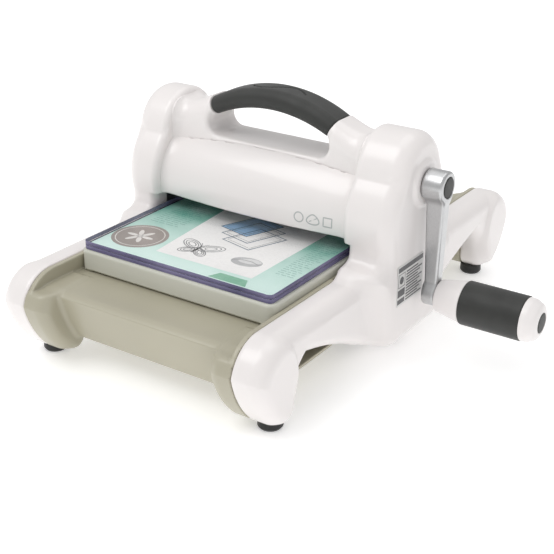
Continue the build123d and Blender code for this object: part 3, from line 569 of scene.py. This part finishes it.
def side_field(outer, crank_hole):
    """Whole field of one side cover, as a thin moulding."""
    def field(x, y, z):
        whole = side_outer(x, y, z, outer)
        room = np.maximum(whole + WALL, ROOM_IN - x)
        shell = without(whole, room, RIM_R)
        window = np.maximum(slab(y, -WINDOW_HALF, WINDOW_HALF), slab(z, WINDOW_LOW, WINDOW_HIGH))
        shell = without(shell, np.maximum(window, x - HOLE_END), RIM_R)
        for foot_y in (-FOOT_Y, 0, FOOT_Y):
            socket = np.maximum(np.hypot(x - FOOT_X, y - foot_y) - SOCKET_R, z - SOCKET_TOP)
            shell = without(shell, socket, HOLE_RIM_R)
        for screw_y, screw_z in SCREW_HOLES:
            hole = np.maximum(np.hypot(y - screw_y, z - screw_z) - SCREW_R, x - HOLE_END)
            shell = without(shell, hole, HOLE_RIM_R)
        if crank_hole:
            across = np.hypot(y, z - CRANK_Z)
            collar = both(across - COLLAR_R, x - right_high[0], COLLAR_EDGE_R)
            shell = either(shell, np.maximum(collar, outer - WALL - x), COLLAR_EDGE_R)
            shell = without(shell, across - CRANK_HOLE_R, 0.6)
        return shell
    return field


SIDE_CELL = 0.9
right_field = side_field(TOWER_OUT_RIGHT, True)
right_cover = field_piece("right_side_shell", right_field, (LOBE_IN, -PAW_FRONT, LEG_LOW),
                          (right_high[0], PAW_FRONT, right_high[2]), SIDE_CELL)
left_field = side_field(TOWER_OUT_LEFT, False)
left_cover = field_piece("left_side_shell", lambda x, y, z: left_field(-x, y, z),
                         (-TOWER_OUT_LEFT, -PAW_FRONT, LEG_LOW),
                         (-LOBE_IN, PAW_FRONT, right_high[2]), SIDE_CELL)
finish_piece(right_cover, "housing", white, "white_shell", "right_side_cover")
finish_piece(left_cover, "housing", white, "white_shell", "left_side_cover")


# ---- Bowed covers ----
BOW_DEPTH = BARREL_MID_R - BARREL_END_R
BOW_R = (COVER_HALF ** 2 + BOW_DEPTH ** 2) / (2 * BOW_DEPTH)
BARREL_FLARE = 3.0  # the covers widen by this much against the towers
COVER_CELL = 1.0


def barrel_radius(x):
    """Radius of the bowed covers along the rollers, with a small flare against each tower."""
    bow = np.sqrt(np.maximum(BOW_R ** 2 - x * x, 1)) - BOW_R + BARREL_MID_R
    return bow + BARREL_FLARE * np.exp(-np.maximum(LOBE_IN - np.abs(x), 0) / 3.0)


def cover_field(x, y, z):
    """Front cover; the rear one is its mirror image."""
    around = np.hypot(y, z - ROLLER_Z)
    radius = barrel_radius(x)
    skin = both(around - radius, radius - WALL - around, 0.6)
    skin = both(skin, y + NECK_HALF + 0.15, 0.5)
    skin = both(skin, COVER_LOW - z, 1.3)
    return both(skin, np.abs(x) - COVER_HALF, 0.4)


front_cover = field_piece("front_bowed_cover", cover_field, barrel_low, barrel_high, COVER_CELL)
rear_cover = field_piece("rear_bowed_cover", lambda x, y, z: cover_field(x, -y, z),
                         (barrel_low[0], -barrel_high[1], barrel_low[2]),
                         (barrel_high[0], -barrel_low[1], barrel_high[2]), COVER_CELL)
finish_piece(front_cover, "housing", white, "white_shell", "front_cover")
finish_piece(rear_cover, "housing", white, "white_shell", "rear_cover")


# ---- Neck, handle arch and carry grip ----
ARCH_R = 109.4  # radius of the arch's upper curve
ARCH_TOP = (GRIP_TOP - 0.2 - ARCH_R, ARCH_R)
ARCH_UNDER = (49.6, 108.8)  # centre height and radius of its underside
ARCH_HALF = 14.3
ARCH_TOP_EDGE_R = 8
ARCH_UNDER_EDGE_R = 5.5
GRIP_END = ((47.6, 147.5), (53.4, 158.4))  # slanted ends of the rubber, as (x, z)
SHOULDER = GRIP_END[1]  # the white shoulders fall from here to the towers
SHOULDER_SLOPE = 0.307
SHOULDER_EDGE_R = 14
NECK_FLARE = 5.0  # the neck widens by this much where it meets a tower
OPENING_HALF = 51.5  # opening under the handle
OPENING_LOW = 133.0
STUB_HALF = 68  # the arch runs into the shoulders up to here
SLEEVE_DEPTH = 3.2  # the white core lies this far inside the rubber
NECK_CELL = 1.0


def arch(x, y, z, grow=0.0):
    """Handle arch with a rounded section, grown by a margin."""
    top = np.hypot(x, z - ARCH_TOP[0]) - ARCH_TOP[1] - grow
    under = ARCH_UNDER[1] - np.hypot(x, z - ARCH_UNDER[0]) - grow
    side = np.abs(y) - ARCH_HALF - grow
    return np.maximum(both(side, top, ARCH_TOP_EDGE_R), both(side, under, ARCH_UNDER_EDGE_R))


def grip_zone(x, z):
    """Negative where the rubber covers the arch: between the slanted ends."""
    return -line(np.abs(x), z, *GRIP_END)


def neck_field(x, y, z):
    """White neck between the towers, its shoulders and the core of the arch."""
    X = np.abs(x)
    shoulder_top = (z - SHOULDER[1] + SHOULDER_SLOPE * (X - SHOULDER[0])) / 1.046
    flare = NECK_FLARE * np.exp(-np.maximum(LOBE_IN - X, 0) / 3.5)
    block = both(np.abs(y) - NECK_HALF - flare, shoulder_top - flare, SHOULDER_EDGE_R)
    block = np.maximum(block, neck_low[2] - z)
    block = np.maximum(block, X - COVER_HALF)
    opening = both(X - OPENING_HALF, OPENING_LOW - z, 9)
    block = without(block, opening, 3.5)
    zone = grip_zone(x, z)
    stub = both(np.maximum(arch(x, y, z), X - STUB_HALF), -zone, 0.6)
    inside = arch(x, y, z, -SLEEVE_DEPTH)
    solid = np.minimum(either(block, stub, 5), np.maximum(inside, zone - 3))
    around = both(np.maximum(zone - GAP, 140 - z), -inside, HOLE_RIM_R)
    solid = without(solid, around, RIM_R)
    room = np.maximum(block + WALL, z - 144)
    return without(solid, room, 0.4)


neck = field_piece("neck_and_handle_core", neck_field,
                   (-COVER_HALF, -NECK_HALF - NECK_FLARE, neck_low[2]),
                   (COVER_HALF, NECK_HALF + NECK_FLARE, GRIP_TOP), NECK_CELL)
finish_piece(neck, "housing", white, "white_shell", "top_cover")


SLEEVE_PROUD = 0.35  # the rubber stands proud of the white by this much
GROOVE_HALF = 22  # half length, swing, pitch and radius of the groove on top of it
GROOVE_SWING = 5.0
GROOVE_PITCH = 7.0
GROOVE_R = 1.0


def carry_field(x, y, z):
    """Rubber sleeve of the handle, with a wavy groove on top."""
    outer = both(arch(x, y, z, SLEEVE_PROUD), grip_zone(x, z), 1.6)
    crest = ARCH_TOP[0] + np.sqrt(np.maximum(ARCH_TOP[1] ** 2 - x * x, 1)) + 0.4
    groove = np.hypot(z - crest, y - GROOVE_SWING * np.sin(x / GROOVE_PITCH))
    groove = np.maximum(groove - GROOVE_R, np.abs(x) - GROOVE_HALF)
    outer = without(outer, groove, 0.4)
    return without(outer, arch(x, y, z, GAP - SLEEVE_DEPTH), 0.4)


carry = field_piece("carry_handle_grip", carry_field, (carry_low[0] - 2, -16, carry_low[2] - 2),
                    (carry_high[0] + 2, 16, GRIP_TOP + 1), 0.8)
finish_piece(carry, "housing", dark_rubber, "grip_rubber", "carry_grip")


# ---- Grey trays ----
TRAY_IN = 19  # the trays end this far from the middle
NOSE_HALF = 67.4  # half width of the nose between the legs
NOSE_FRONT = 167.2
NOSE_LOW = 18
NOSE_SLOPE = ((150, NOSE_LOW), (166.6, 38.5))  # underside of the nose, as (y, z)
LEG_BACK = 136
LEG_EDGE_R = 9
SIDE_WALL_IN = 82.0  # inner face and foot of the walls beside the platform
SIDE_WALL_LOW = 53.9
TRAY_CELL = 1.15


def nose_outline(Y, z):
    """Solid outline of the tray's rounded nose, before hollowing."""
    front = Y - NOSE_FRONT
    nose = np.maximum(both(z - DECK, front, 9), both(front, -line(Y, z, *NOSE_SLOPE), 22))
    return both(nose, NOSE_LOW - z, 2)


def tray_field(x, y, z):
    """Front tray: deck, nose, inner halves of the paws and the low walls beside the platform."""
    X, Y = np.abs(x), np.abs(y)
    outline = nose_outline(Y, z)
    body = without(np.maximum(outline, TRAY_IN - Y), outline + WALL, RIM_R)
    body = np.maximum(body, X - SEAM)
    rail = rail_outline(Y, z)
    leg = np.maximum(both(rail, NOSE_HALF - X, LEG_EDGE_R), X - SEAM)
    leg = np.maximum(both(leg, z - DECK, 2.0), LEG_BACK - Y)
    leg_room = both(rail + WALL, NOSE_HALF + WALL - X, LEG_EDGE_R - WALL)
    leg_room = np.maximum(leg_room, z - DECK + WALL)
    whole = without(either(body, leg, 4), leg_room, RIM_R)
    wall = np.maximum(both(rail + 0.9, SIDE_WALL_IN - X, 0.8), X - SEAM)
    whole = either(whole, np.maximum(wall, SIDE_WALL_LOW - z), 1.2)
    tower_room = np.maximum(TOWER_IN - GAP - X, Y - 60)
    return both(without(whole, tower_room, HOLE_RIM_R), X - SEAM, RIM_R)


front_tray = field_piece("infeed_tray", lambda x, y, z: np.maximum(tray_field(x, y, z), y),
                         (-SEAM, -PAW_FRONT, LEG_LOW), (SEAM, -TRAY_IN, RAIL_TOP), TRAY_CELL)
rear_tray = field_piece("outfeed_tray", lambda x, y, z: np.maximum(tray_field(x, y, z), -y),
                        (-SEAM, TRAY_IN, LEG_LOW), (SEAM, PAW_FRONT, RAIL_TOP), TRAY_CELL)
finish_piece(front_tray, "housing", grey, "grey_tray", "front_tray")
finish_piece(rear_tray, "housing", grey, "grey_tray", "rear_tray")


# ---- Crank arm ----
HUB_IN, HUB_OUT = arm_low[0], arm_high[0]
HUB_R = 11
BAR_IN, BAR_OUT, BAR_HALF = 121.8, 135.8, 4.9  # faces and half width of the bar at the hub
BOSS_R = 7.6
BOSS_IN, BOSS_OUT = 124.0, 134.7
SHAFT_R, SHAFT_END = 6.0, 130  # bore for the crank shaft
CAP_R, CAP_SEAT = 7.4, 132  # recess for the hub cap
HUB_SCREW_R = 2.6
SPINDLE_R = 3.05
ARM_MARGIN = 0.5


def arm_field(x, y, z):
    """Cast crank arm: round hub, tapering bar and the boss for the hand grip's spindle."""
    across = np.hypot(y, z - CRANK_Z)
    hub = both(across - HUB_R, slab(x, HUB_IN, HUB_OUT), 2.0)
    down = np.clip((CRANK_Z - 8 - z) / (CRANK_Z - GRIP_Z - 8), 0, 1)
    faces = slab(x, BAR_IN + 2.8 * down, BAR_OUT - 1.8 * down)
    bar = both(faces, np.abs(y) - (BAR_HALF - 0.4 * down), 1.8)
    bar = np.maximum(bar, slab(z, GRIP_Z, CRANK_Z))
    round_end = np.hypot(np.maximum(np.abs(y) - 1.5, 0), z - GRIP_Z) - BOSS_R
    boss = both(both(round_end, slab(x, BOSS_IN, BOSS_OUT), 2.4), z - GRIP_Z - 10.5, 3)
    whole = either(either(hub, bar, 3.0), boss, 4.0)
    bore = np.maximum(across - SHAFT_R, x - SHAFT_END)
    recess = np.maximum(across - CAP_R, CAP_SEAT - x)
    spindle = np.hypot(y, z - GRIP_Z) - SPINDLE_R
    for cut in (bore, recess, across - HUB_SCREW_R, spindle):
        whole = without(whole, cut, HOLE_RIM_R)
    return whole


arm = field_piece("cast_crank_arm", arm_field, (HUB_IN, -HUB_R - ARM_MARGIN, GRIP_Z - 9),
                  (HUB_OUT, HUB_R + ARM_MARGIN, CRANK_Z + HUB_R + ARM_MARGIN), 0.6)
finish_piece(arm, "crank", aluminium, "satin_aluminium", "crank_arm")


# ---- Turned pieces ----
def rounded_profile(points, segments=6):
    """Outline with rounded corners from (u, v, radius) points."""
    made = []
    count = len(points)
    for i, (u, v, r) in enumerate(points):
        here = Vector((u, v))
        if r <= 0:
            made.append(here)
            continue
        before = Vector(points[i - 1][:2]) - here
        after = Vector(points[(i + 1) % count][:2]) - here
        reach = min(r / math.tan(before.angle(after) / 2), before.length * 0.49, after.length * 0.49)
        start, end = here + before.normalized() * reach, here + after.normalized() * reach
        for k in range(segments + 1):
            t = k / segments
            made.append(start * (1 - t) ** 2 + here * 2 * t * (1 - t) + end * t * t)
    return made


def lathe(name, points, axis_z, axis_y=0.0, along="X", steps=96):
    """Closed turned ring or disc from (position, radius, corner) points, about a line along X or Z."""
    profile = rounded_profile(points)
    verts, faces = [], []
    for k in range(steps):
        angle = 2 * math.pi * k / steps
        c, s = math.cos(angle), math.sin(angle)
        for p in profile:
            if along == "X":
                verts.append((p.x, axis_y + p.y * c, axis_z + p.y * s))
            else:
                verts.append((axis_z + p.y * c, axis_y + p.y * s, p.x))
    n = len(profile)
    for k in range(steps):
        ring, following = k * n, (k + 1) % steps * n
        for i in range(n):
            j = (i + 1) % n
            faces.append((ring + i, ring + j, following + j, following + i))
    piece = mesh_object(name, verts, faces)
    shape = bmesh.new()
    shape.from_mesh(piece.data)
    bmesh.ops.remove_doubles(shape, verts=shape.verts, dist=1e-6)
    bmesh.ops.recalc_face_normals(shape, faces=shape.faces)
    shape.to_mesh(piece.data)
    shape.free()
    return piece


def ends(node):
    """Where a turned CAD node starts and stops along X."""
    low, high = box_mm(node)
    return low[0], high[0]


core_in, core_out = ends("grip_core")
sleeve_in, sleeve_out = ends("grip_sleeve")
cap_in, cap_out = ends("grip_end_cap")
plug_in, plug_out = ends("grip_plug")
hub_cap_in, hub_cap_out = ends("hub_cap")
GRIP_R = box_mm("grip_core")[1][2] - GRIP_Z
SLEEVE_R = box_mm("grip_sleeve")[1][2] - GRIP_Z
CORE_BORE_R = 4.1
CORE_R = 12.0  # core under the rubber sleeve, and its narrow end in the dome
CORE_END_R = 9.0
PLUG_R = 7.1
CAP_FLOOR = cap_in + 4.6
SEAT = 0.05  # clearance of seats

collar = lathe("grip_collar_and_core", [
    (core_in, CORE_BORE_R, 0), (core_in, 11.4, 2.0), (sleeve_in - GAP, GRIP_R, 0.5),
    (sleeve_in - GAP, CORE_R, 0), (sleeve_out + SEAT, CORE_R, 0.3), (sleeve_out + SEAT, CORE_END_R, 0),
    (core_out, CORE_END_R, 0), (core_out, CORE_BORE_R, 0)], GRIP_Z)
finish_piece(collar, "hand_grip", grip_white, "white_grip", "grip_core")
sleeve = lathe("grip_rubber_sleeve", [
    (sleeve_in, CORE_R + SEAT, 0), (sleeve_in, SLEEVE_R, 0.7), (sleeve_out, SLEEVE_R, 0.7),
    (sleeve_out, CORE_R + SEAT, 0)], GRIP_Z)
finish_piece(sleeve, "hand_grip", dark_rubber, "grip_rubber", "grip_sleeve")
end_cap = lathe("grip_end_dome", [
    (cap_in, CORE_END_R + SEAT, 0), (cap_in, GRIP_R, 0.5), (cap_in + 4.0, GRIP_R - 0.3, 4),
    (cap_out - 1.5, 12.4, 4), (cap_out, 8.3, 1.2), (cap_out, PLUG_R + GAP, 0.3),
    (CAP_FLOOR, PLUG_R + GAP, 0), (CAP_FLOOR, CORE_END_R + SEAT, 0)], GRIP_Z)
finish_piece(end_cap, "hand_grip", grip_white, "white_grip", "grip_end_cap")
plug = lathe("grip_end_plug", [
    (plug_in, 0.0, 0), (plug_in, PLUG_R, 0), (plug_out - 0.3, PLUG_R, 0.8), (plug_out, 5.6, 0.6),
    (plug_out + 0.1, 0.0, 0)], GRIP_Z)
finish_piece(plug, "hand_grip", dark_rubber, "grip_rubber", "grip_plug")
hub_plug = lathe("crank_hub_plug", [
    (hub_cap_in, 0.0, 0), (hub_cap_in, CAP_R - GAP, 0), (hub_cap_out - 0.2, CAP_R - GAP, 0.8),
    (hub_cap_out - 0.1, 5.2, 1), (hub_cap_out + 0.2, 0.0, 0)], CRANK_Z)
finish_piece(hub_plug, "crank", dark_rubber, "grip_rubber", "hub_cap")

# Feet: one object of six turned rubber pads, each with a stem in its socket.
FOOT_R = 8.5
STEM_R = 4.0
STEM_BORE_R = 2.1
joined = bmesh.new()
for foot_x in (-FOOT_X, FOOT_X):
    for foot_y in (-FOOT_Y, 0, FOOT_Y):
        top = COLUMN_LOW - SEAT if foot_y == 0 else LEG_LOW + 3
        foot = lathe("foot", [
            (1.7, STEM_BORE_R, 0), (1.7, 3.9, 0), (0, 4.3, 0.3), (0, 7.2, 0.8), (1.8, FOOT_R, 0.8),
            (top - 0.4, FOOT_R - 0.3, 0.3), (top, 6.5, 0.3), (top, STEM_R, 0), (top + 2.3, STEM_R, 0),
            (top + 2.3, STEM_BORE_R, 0)], foot_x, foot_y, "Z", 48)
        joined.from_mesh(foot.data)
        bpy.data.objects.remove(foot)
feet_mesh = bpy.data.meshes.new("rubber_feet")
joined.to_mesh(feet_mesh)
joined.free()
finish_piece(linked("rubber_feet", feet_mesh), "housing", foot_rubber, "foot_rubber", "feet")


# ---- Platform, pads and card ----
def plate(name, low, high, corner, edge):
    """Flat plate with rounded corners and softened edges."""
    outline = rounded_profile([(low[0], low[1], corner), (high[0], low[1], corner),
                               (high[0], high[1], corner), (low[0], high[1], corner)], 8)
    middle = Vector(((low[0] + high[0]) / 2, (low[1] + high[1]) / 2))
    half = Vector(((high[0] - low[0]) / 2, (high[1] - low[1]) / 2))
    levels = [(low[2], edge), (low[2] + edge * 0.3, edge * 0.3), (low[2] + edge, 0),
              (high[2] - edge, 0), (high[2] - edge * 0.3, edge * 0.3), (high[2], edge)]
    verts, faces = [], []
    n = len(outline)
    for z, inset in levels:
        for p in outline:
            q = p - middle
            verts.append((middle.x + q.x * (1 - inset / half.x),
                          middle.y + q.y * (1 - inset / half.y), z))
    for row in range(len(levels) - 1):
        for i in range(n):
            j = (i + 1) % n
            faces.append((row * n + i, row * n + j, (row + 1) * n + j, (row + 1) * n + i))
    faces.append(tuple(reversed(range(n))))
    faces.append(tuple((len(levels) - 1) * n + i for i in range(n)))
    piece = mesh_object(name, verts, faces)
    for face in (-1, -2):
        piece.data.polygons[face].use_smooth = False
    return piece


def platform_field(x, y, z):
    """Platform: a thick slab with rounded corners and edges."""
    side = both(np.abs(x) - platform_high[0], np.abs(y) - platform_high[1], 6)
    return np.maximum(both(side, z - platform_high[2], 1.6), both(side, platform_low[2] - z, 0.8))


platform = field_piece("feed_platform", platform_field, platform_low, platform_high, 1.6)
finish_piece(platform, "feed_stack", light_grey, "platform_plastic", "platform")

PAD_REACH = 0.2  # each pad is pressed this far into the card between them
PAD_CORNER_R = 4
PAD_EDGE = 0.35
lower_pad = plate("lower_clear_pad", pad_low, (*pad_high[:2], pad_high[2] + PAD_REACH),
                  PAD_CORNER_R, PAD_EDGE)
finish_piece(lower_pad, "feed_stack", pad_clear, "clear_pad", "lower_cutting_pad")
upper_pad = plate("upper_clear_pad", (*top_pad_low[:2], top_pad_low[2] - PAD_REACH), top_pad_high,
                  PAD_CORNER_R, PAD_EDGE)
finish_piece(upper_pad, "feed_stack", pad_clear, "clear_pad", "upper_cutting_pad")


# ---- Printed card between the pads ----
card_low, card_high = box_mm("printed_card")
CARD_FACE = card_high[2] - 0.14
LAYER = 0.02  # each layer of print lies this far above the one before


def border_ink(name):
    """Mint border of the card, deep teal towards the rollers and pale at the infeed end."""
    f = Finish(name)
    split = f.node("ShaderNodeSeparateXYZ")
    f.link(f.place, split.inputs["Vector"])
    fade = f.ramp(split.outputs["Y"], -0.115, -0.03)
    deep = f.mix(fade, (0.68, 0.88, 0.82), (0.11, 0.4, 0.31))
    mottle = f.spread(f.noise(55.0, 5.0), 0, 0.35)
    f.link(f.mix(mottle, deep, (0.75, 0.93, 0.88)), f.shader.inputs["Base Color"])
    f.shader.inputs["Roughness"].default_value = 0.4
    f.bump(f.noise(2500.0, 3.0), PAPER_GRAIN)
    return f.material


def ribbon(points, width, closed=False):
    """Four-point outlines that follow a curve with a constant width."""
    count = len(points)
    left, right = [], []
    for i, (u, v) in enumerate(points):
        a = points[(i - 1) % count] if closed or i else points[0]
        b = points[(i + 1) % count] if closed or i < count - 1 else points[-1]
        du, dv = b[0] - a[0], b[1] - a[1]
        length = math.hypot(du, dv) or 1
        nu, nv = -dv / length * width / 2, du / length * width / 2
        left.append((u + nu, v + nv))
        right.append((u - nu, v - nv))
    steps = [(i, (i + 1) % count) for i in range(count if closed else count - 1)]
    return [[right[i], right[j], left[j], left[i]] for i, j in steps]


def ellipse(u, v, ru, rv, turn=0.0, steps=48):
    """Points round an ellipse, turned by an angle."""
    c, s = math.cos(turn), math.sin(turn)
    made = []
    for k in range(steps):
        t = 2 * math.pi * k / steps
        a, b = ru * math.cos(t), rv * math.sin(t)
        made.append((u + a * c - b * s, v + a * s + b * c))
    return made


def bar(u, v, wide, high):
    """Rectangle from its lower left corner."""
    return [(u, v), (u + wide, v), (u + wide, v + high), (u, v + high)]


def printed(name, outlines, layer, material):
    """Flat print on the card."""
    piece = flat_pieces(name, outlines, lambda u, v: (u, v, CARD_FACE + LAYER * layer))
    finish_piece(piece, "feed_stack", material, "card_paper")


card = plate("card_stock", card_low, (card_high[0], card_high[1], CARD_FACE), 2, 0.03)
finish_piece(card, "feed_stack", border_ink("card_mint_border"), "card_paper", "printed_card")
printed("card_white_field", [[(-30, -106), (50, -106), (53, 90), (-46, 90)]], 1,
        ink("ink_white", (0.95, 0.93, 0.92)))

# Broken lines in the side borders, where the real card has small print.
DASH_PITCH = 3.1
teal_ink = ink("ink_teal", (0.12, 0.36, 0.31))
pattern = np.random.default_rng(4)
dashes = []


def dash_row(start, end, v, shortest, longest, high, space):
    """One row of dashes with lengths at random."""
    while start < end:
        length = float(pattern.uniform(shortest, longest))
        dashes.append(bar(start, v, length, high))
        start += length + space


for row in range(15):
    dash_row(-70.0 + 0.25 * row, -46 - 0.1 * row, -64 + DASH_PITCH * row, 2.5, 7.0, 0.7, 1.3)
for row in range(22):
    dash_row(58.0, 70, -90 + DASH_PITCH * row, 2.0, 5.0, 0.6, 1.2)
printed("card_side_dashes", dashes, 1, teal_ink)
printed("card_green_patch", [[(24, -119), (54, -119), (50, -110), (28, -110)]], 1,
        ink("ink_green", (0.24, 0.52, 0.37)))

# Round seal with a plain flower.
SEAL = (-56.0, -92.0)
SEAL_R = 20.5
PETAL_AT = 6.3
printed("card_seal", [ellipse(*SEAL, SEAL_R, SEAL_R, steps=72)], 2,
        ink("ink_taupe", (0.3, 0.25, 0.225), 0.3))
pearl = ink("ink_pearl", (0.78, 0.74, 0.71), 0.35)
petals = ribbon(ellipse(*SEAL, SEAL_R - 3, SEAL_R - 3, steps=72), 0.7, True)
for k in range(6):
    t = math.pi / 3 * k
    petals.append(ellipse(SEAL[0] + PETAL_AT * math.cos(t), SEAL[1] + PETAL_AT * math.sin(t),
                          5.0, 1.8, t, 24))
petals.append(ellipse(*SEAL, 2.2, 2.2, steps=24))
printed("card_seal_flower", petals, 3, pearl)

# Butterfly drawn with fine lines.
grey_ink = ink("ink_grey", (0.2, 0.2, 0.21))
BUTTERFLY = (-9, -87)
lines = []
for side in (-1, 1):
    for reach, tall, turn in ((10.0, 5.2, 0.55), (7.0, 4.0, -0.7)):
        wing = (BUTTERFLY[0] + side * reach * 0.95 * math.cos(turn),
                BUTTERFLY[1] + reach * 0.95 * math.sin(turn))
        for share in (1.0, 0.72, 0.42):
            lines += ribbon(ellipse(*wing, reach * share, tall * share, side * turn, 28), 0.75, True)
head = (BUTTERFLY[0], BUTTERFLY[1] + 5)
lines += ribbon([(BUTTERFLY[0], BUTTERFLY[1] - 7), head], 1.5)
for side in (-1, 1):
    lines += ribbon([head, (head[0] + 3 * side, head[1] + 5)], 0.5)
printed("card_butterfly", lines, 2, grey_ink)

# Fan of sheets drawn in isometric.
sheet_fill = ink("ink_sky", (0.36, 0.56, 0.8))
sheet_edge = ink("ink_navy", (0.08, 0.13, 0.2))
SHEET_CORNER, SHEET_STEP = Vector((-5, -63)), Vector((-7.5, 9.5))
across, along = Vector((26, -6)), Vector((12, 30))
for k in range(3):
    start = SHEET_CORNER + SHEET_STEP * k
    middle = start + (across + along) / 2
    corners = [start, start + across, start + across + along, start + along]
    outline = [tuple(c) for c in corners]
    inner = [tuple(c * 0.84 + middle * 0.16) for c in corners]
    if k == 2:
        printed("card_sheet_fill", [outline], 2, sheet_fill)
    printed(f"card_sheet_edge_{k}", ribbon(outline, 1.3, True), 3, sheet_edge)
    printed(f"card_sheet_line_{k}", ribbon(inner, 0.6, True), 3, grey_ink)

# Curled silver leaf.
printed("card_leaf", [ellipse(32, -86, 11.5, 7.0, 0.15)], 2, ink("ink_silver", (0.46, 0.46, 0.47), 0.25))
printed("card_leaf_light", [ellipse(33.5, -84.2, 8.5, 4.0, 0.2)], 3,
        ink("ink_pale_silver", (0.74, 0.74, 0.74), 0.25))
printed("card_leaf_fold", ribbon([(21.5, -88), (27, -84.5), (35, -84), (42.5, -86.5)], 0.7), 4, grey_ink)


# ---- Rating plate: blocks and lines only ----
paint(frame["nodes"]["side_label"].data, ink("label_film", (0.72, 0.71, 0.7), 0.4))
marks = [bar(-31, 69.2, 35, 3.6)]
marks += ribbon([(-30.4, 58), (-21.5, 58), (-21.5, 67.5), (-30.4, 67.5)], 0.7, True)
marks += [ellipse(-26, 62.7, 2.8, 2.8, steps=20), bar(-31, 50.8, 10, 5.4), bar(-31, 45.5, 10, 3.6)]
for row in range(11):
    marks.append(bar(-19.5, 45.4 + 2.1 * row, 22.8 - 3.0 * ((row * 5) % 3), 1.15))
label_marks = flat_pieces("rating_plate_marks", marks, lambda y, z: (label_high[0] + 0.03, y, z))
finish_piece(label_marks, "housing", ink("label_print", (0.13, 0.13, 0.135)), "label_film")


# ---- Pale pictograms on the front cover ----
def on_barrel(x, z):
    """Point just in front of the front cover."""
    radius = float(barrel_radius(np.float64(x))) + 0.04
    return (x, -math.sqrt(radius ** 2 - (z - ROLLER_Z) ** 2), z)


PICTO_Z = 96.3
PICTO_LINE = 0.9
SQUARE_X, SQUARE_SIDE = 62, 6.4
leaf = [(54 + 4.6 * math.cos(t) * (1 - 0.35 * math.sin(t)), PICTO_Z + 3.6 * math.sin(t))
        for t in (2 * math.pi * k / 36 for k in range(36))]
sides = [i / 8 for i in range(8)]
square = [(t, 0) for t in sides] + [(1, t) for t in sides]
square += [(1 - t, 1) for t in sides] + [(0, 1 - t) for t in sides]
square = [(SQUARE_X + SQUARE_SIDE * u, PICTO_Z + SQUARE_SIDE * (v - 0.5)) for u, v in square]
shapes = ribbon(ellipse(43, PICTO_Z, 3.5, 3.5, steps=40), PICTO_LINE, True)
shapes += ribbon(leaf, PICTO_LINE, True) + ribbon([(51, PICTO_Z - 1.8), (57, PICTO_Z + 1.4)], 0.7)
shapes += ribbon(square, PICTO_LINE, True)
picto = flat_pieces("front_cover_pictograms", shapes, on_barrel)
finish_piece(picto, "housing", ink("pictogram_grey", (0.5, 0.5, 0.5)), "white_shell")


# ---- Floor, light and camera ----
scene = bpy.context.scene
FLOOR_HALF = 6000
WHITE = (1, 1, 1, 1)
floor_corners = [(-FLOOR_HALF, -FLOOR_HALF, 0), (FLOOR_HALF, -FLOOR_HALF, 0),
                 (FLOOR_HALF, FLOOR_HALF, 0), (-FLOOR_HALF, FLOOR_HALF, 0)]
floor = mesh_object("studio_floor", floor_corners, [(0, 1, 2, 3)], smooth=False)
floor_finish = Finish("pale_floor")
for socket, value in (("Base Color", (0.93, 0.93, 0.93, 1)), ("Roughness", 0.6),
                      ("Specular IOR Level", 0.2), ("Emission Color", WHITE),
                      ("Emission Strength", 0.35)):
    floor_finish.shader.inputs[socket].default_value = value
paint(floor.data, floor_finish.material)

# The camera sees a white backdrop, and the object is lit by a dimmer one.
SKY_SEEN, SKY_LIGHT = 1.0, 0.62
world = bpy.data.worlds.new("studio")
world.use_nodes = True
nodes, links = world.node_tree.nodes, world.node_tree.links
sky, seen = nodes["Background"], nodes.new("ShaderNodeBackground")
for backdrop, strength in ((sky, SKY_LIGHT), (seen, SKY_SEEN)):
    backdrop.inputs["Color"].default_value = WHITE
    backdrop.inputs["Strength"].default_value = strength
rays = nodes.new("ShaderNodeLightPath")
either_sky = nodes.new("ShaderNodeMixShader")
links.new(rays.outputs["Is Camera Ray"], either_sky.inputs["Fac"])
links.new(sky.outputs["Background"], either_sky.inputs[1])
links.new(seen.outputs["Background"], either_sky.inputs[2])
links.new(either_sky.outputs["Shader"], nodes["World Output"].inputs["Surface"])
scene.world = world


def area_light(name, location, target, width, power):
    """Soft square studio light."""
    data = bpy.data.lights.new(name, "AREA")
    data.shape = "SQUARE"
    data.size = width
    data.energy = power
    lamp = linked(name, data)
    lamp.location = location
    lamp.rotation_euler = (Vector(target) - Vector(location)).to_track_quat("-Z", "Y").to_euler()


area_light("key_light", (-0.6, -0.9, 1.8), (0, 0, 0.08), 1.2, 13)
area_light("fill_light", (1.6, -0.9, 1.0), (0, 0, 0.08), 1.6, 1.5)
area_light("top_light", (0.0, 0.5, 1.9), (0, 0, 0.1), 1.4, 6)

CAMERA_AZIMUTH = math.radians(33.86)
CAMERA_ELEVATION = math.radians(24.61)
CAMERA_ROLL = math.radians(0.43)
CAMERA_DISTANCE = 0.8867
CAMERA_LENS = 74.84
AIM_RIGHT, AIM_UP = -0.0009, 0.0223  # what the camera looks at, in metres
back = Vector((math.sin(CAMERA_AZIMUTH) * math.cos(CAMERA_ELEVATION),
               -math.cos(CAMERA_AZIMUTH) * math.cos(CAMERA_ELEVATION), math.sin(CAMERA_ELEVATION)))
right = Vector((math.cos(CAMERA_AZIMUTH), math.sin(CAMERA_AZIMUTH), 0))
above = back.cross(right)
aim = right * AIM_RIGHT + above * AIM_UP
turned_right = right * math.cos(CAMERA_ROLL) + above * math.sin(CAMERA_ROLL)
turned_up = above * math.cos(CAMERA_ROLL) - right * math.sin(CAMERA_ROLL)
camera_data = bpy.data.cameras.new("camera")
camera_data.lens = CAMERA_LENS
camera_data.sensor_width = 36
camera_data.clip_start = 0.05
camera_data.clip_end = 50
camera = linked("camera", camera_data)
matrix = Matrix((turned_right, turned_up, back)).transposed().to_4x4()
matrix.translation = aim + back * CAMERA_DISTANCE
camera.matrix_world = matrix
scene.camera = camera
scene.view_settings.view_transform = "Standard"
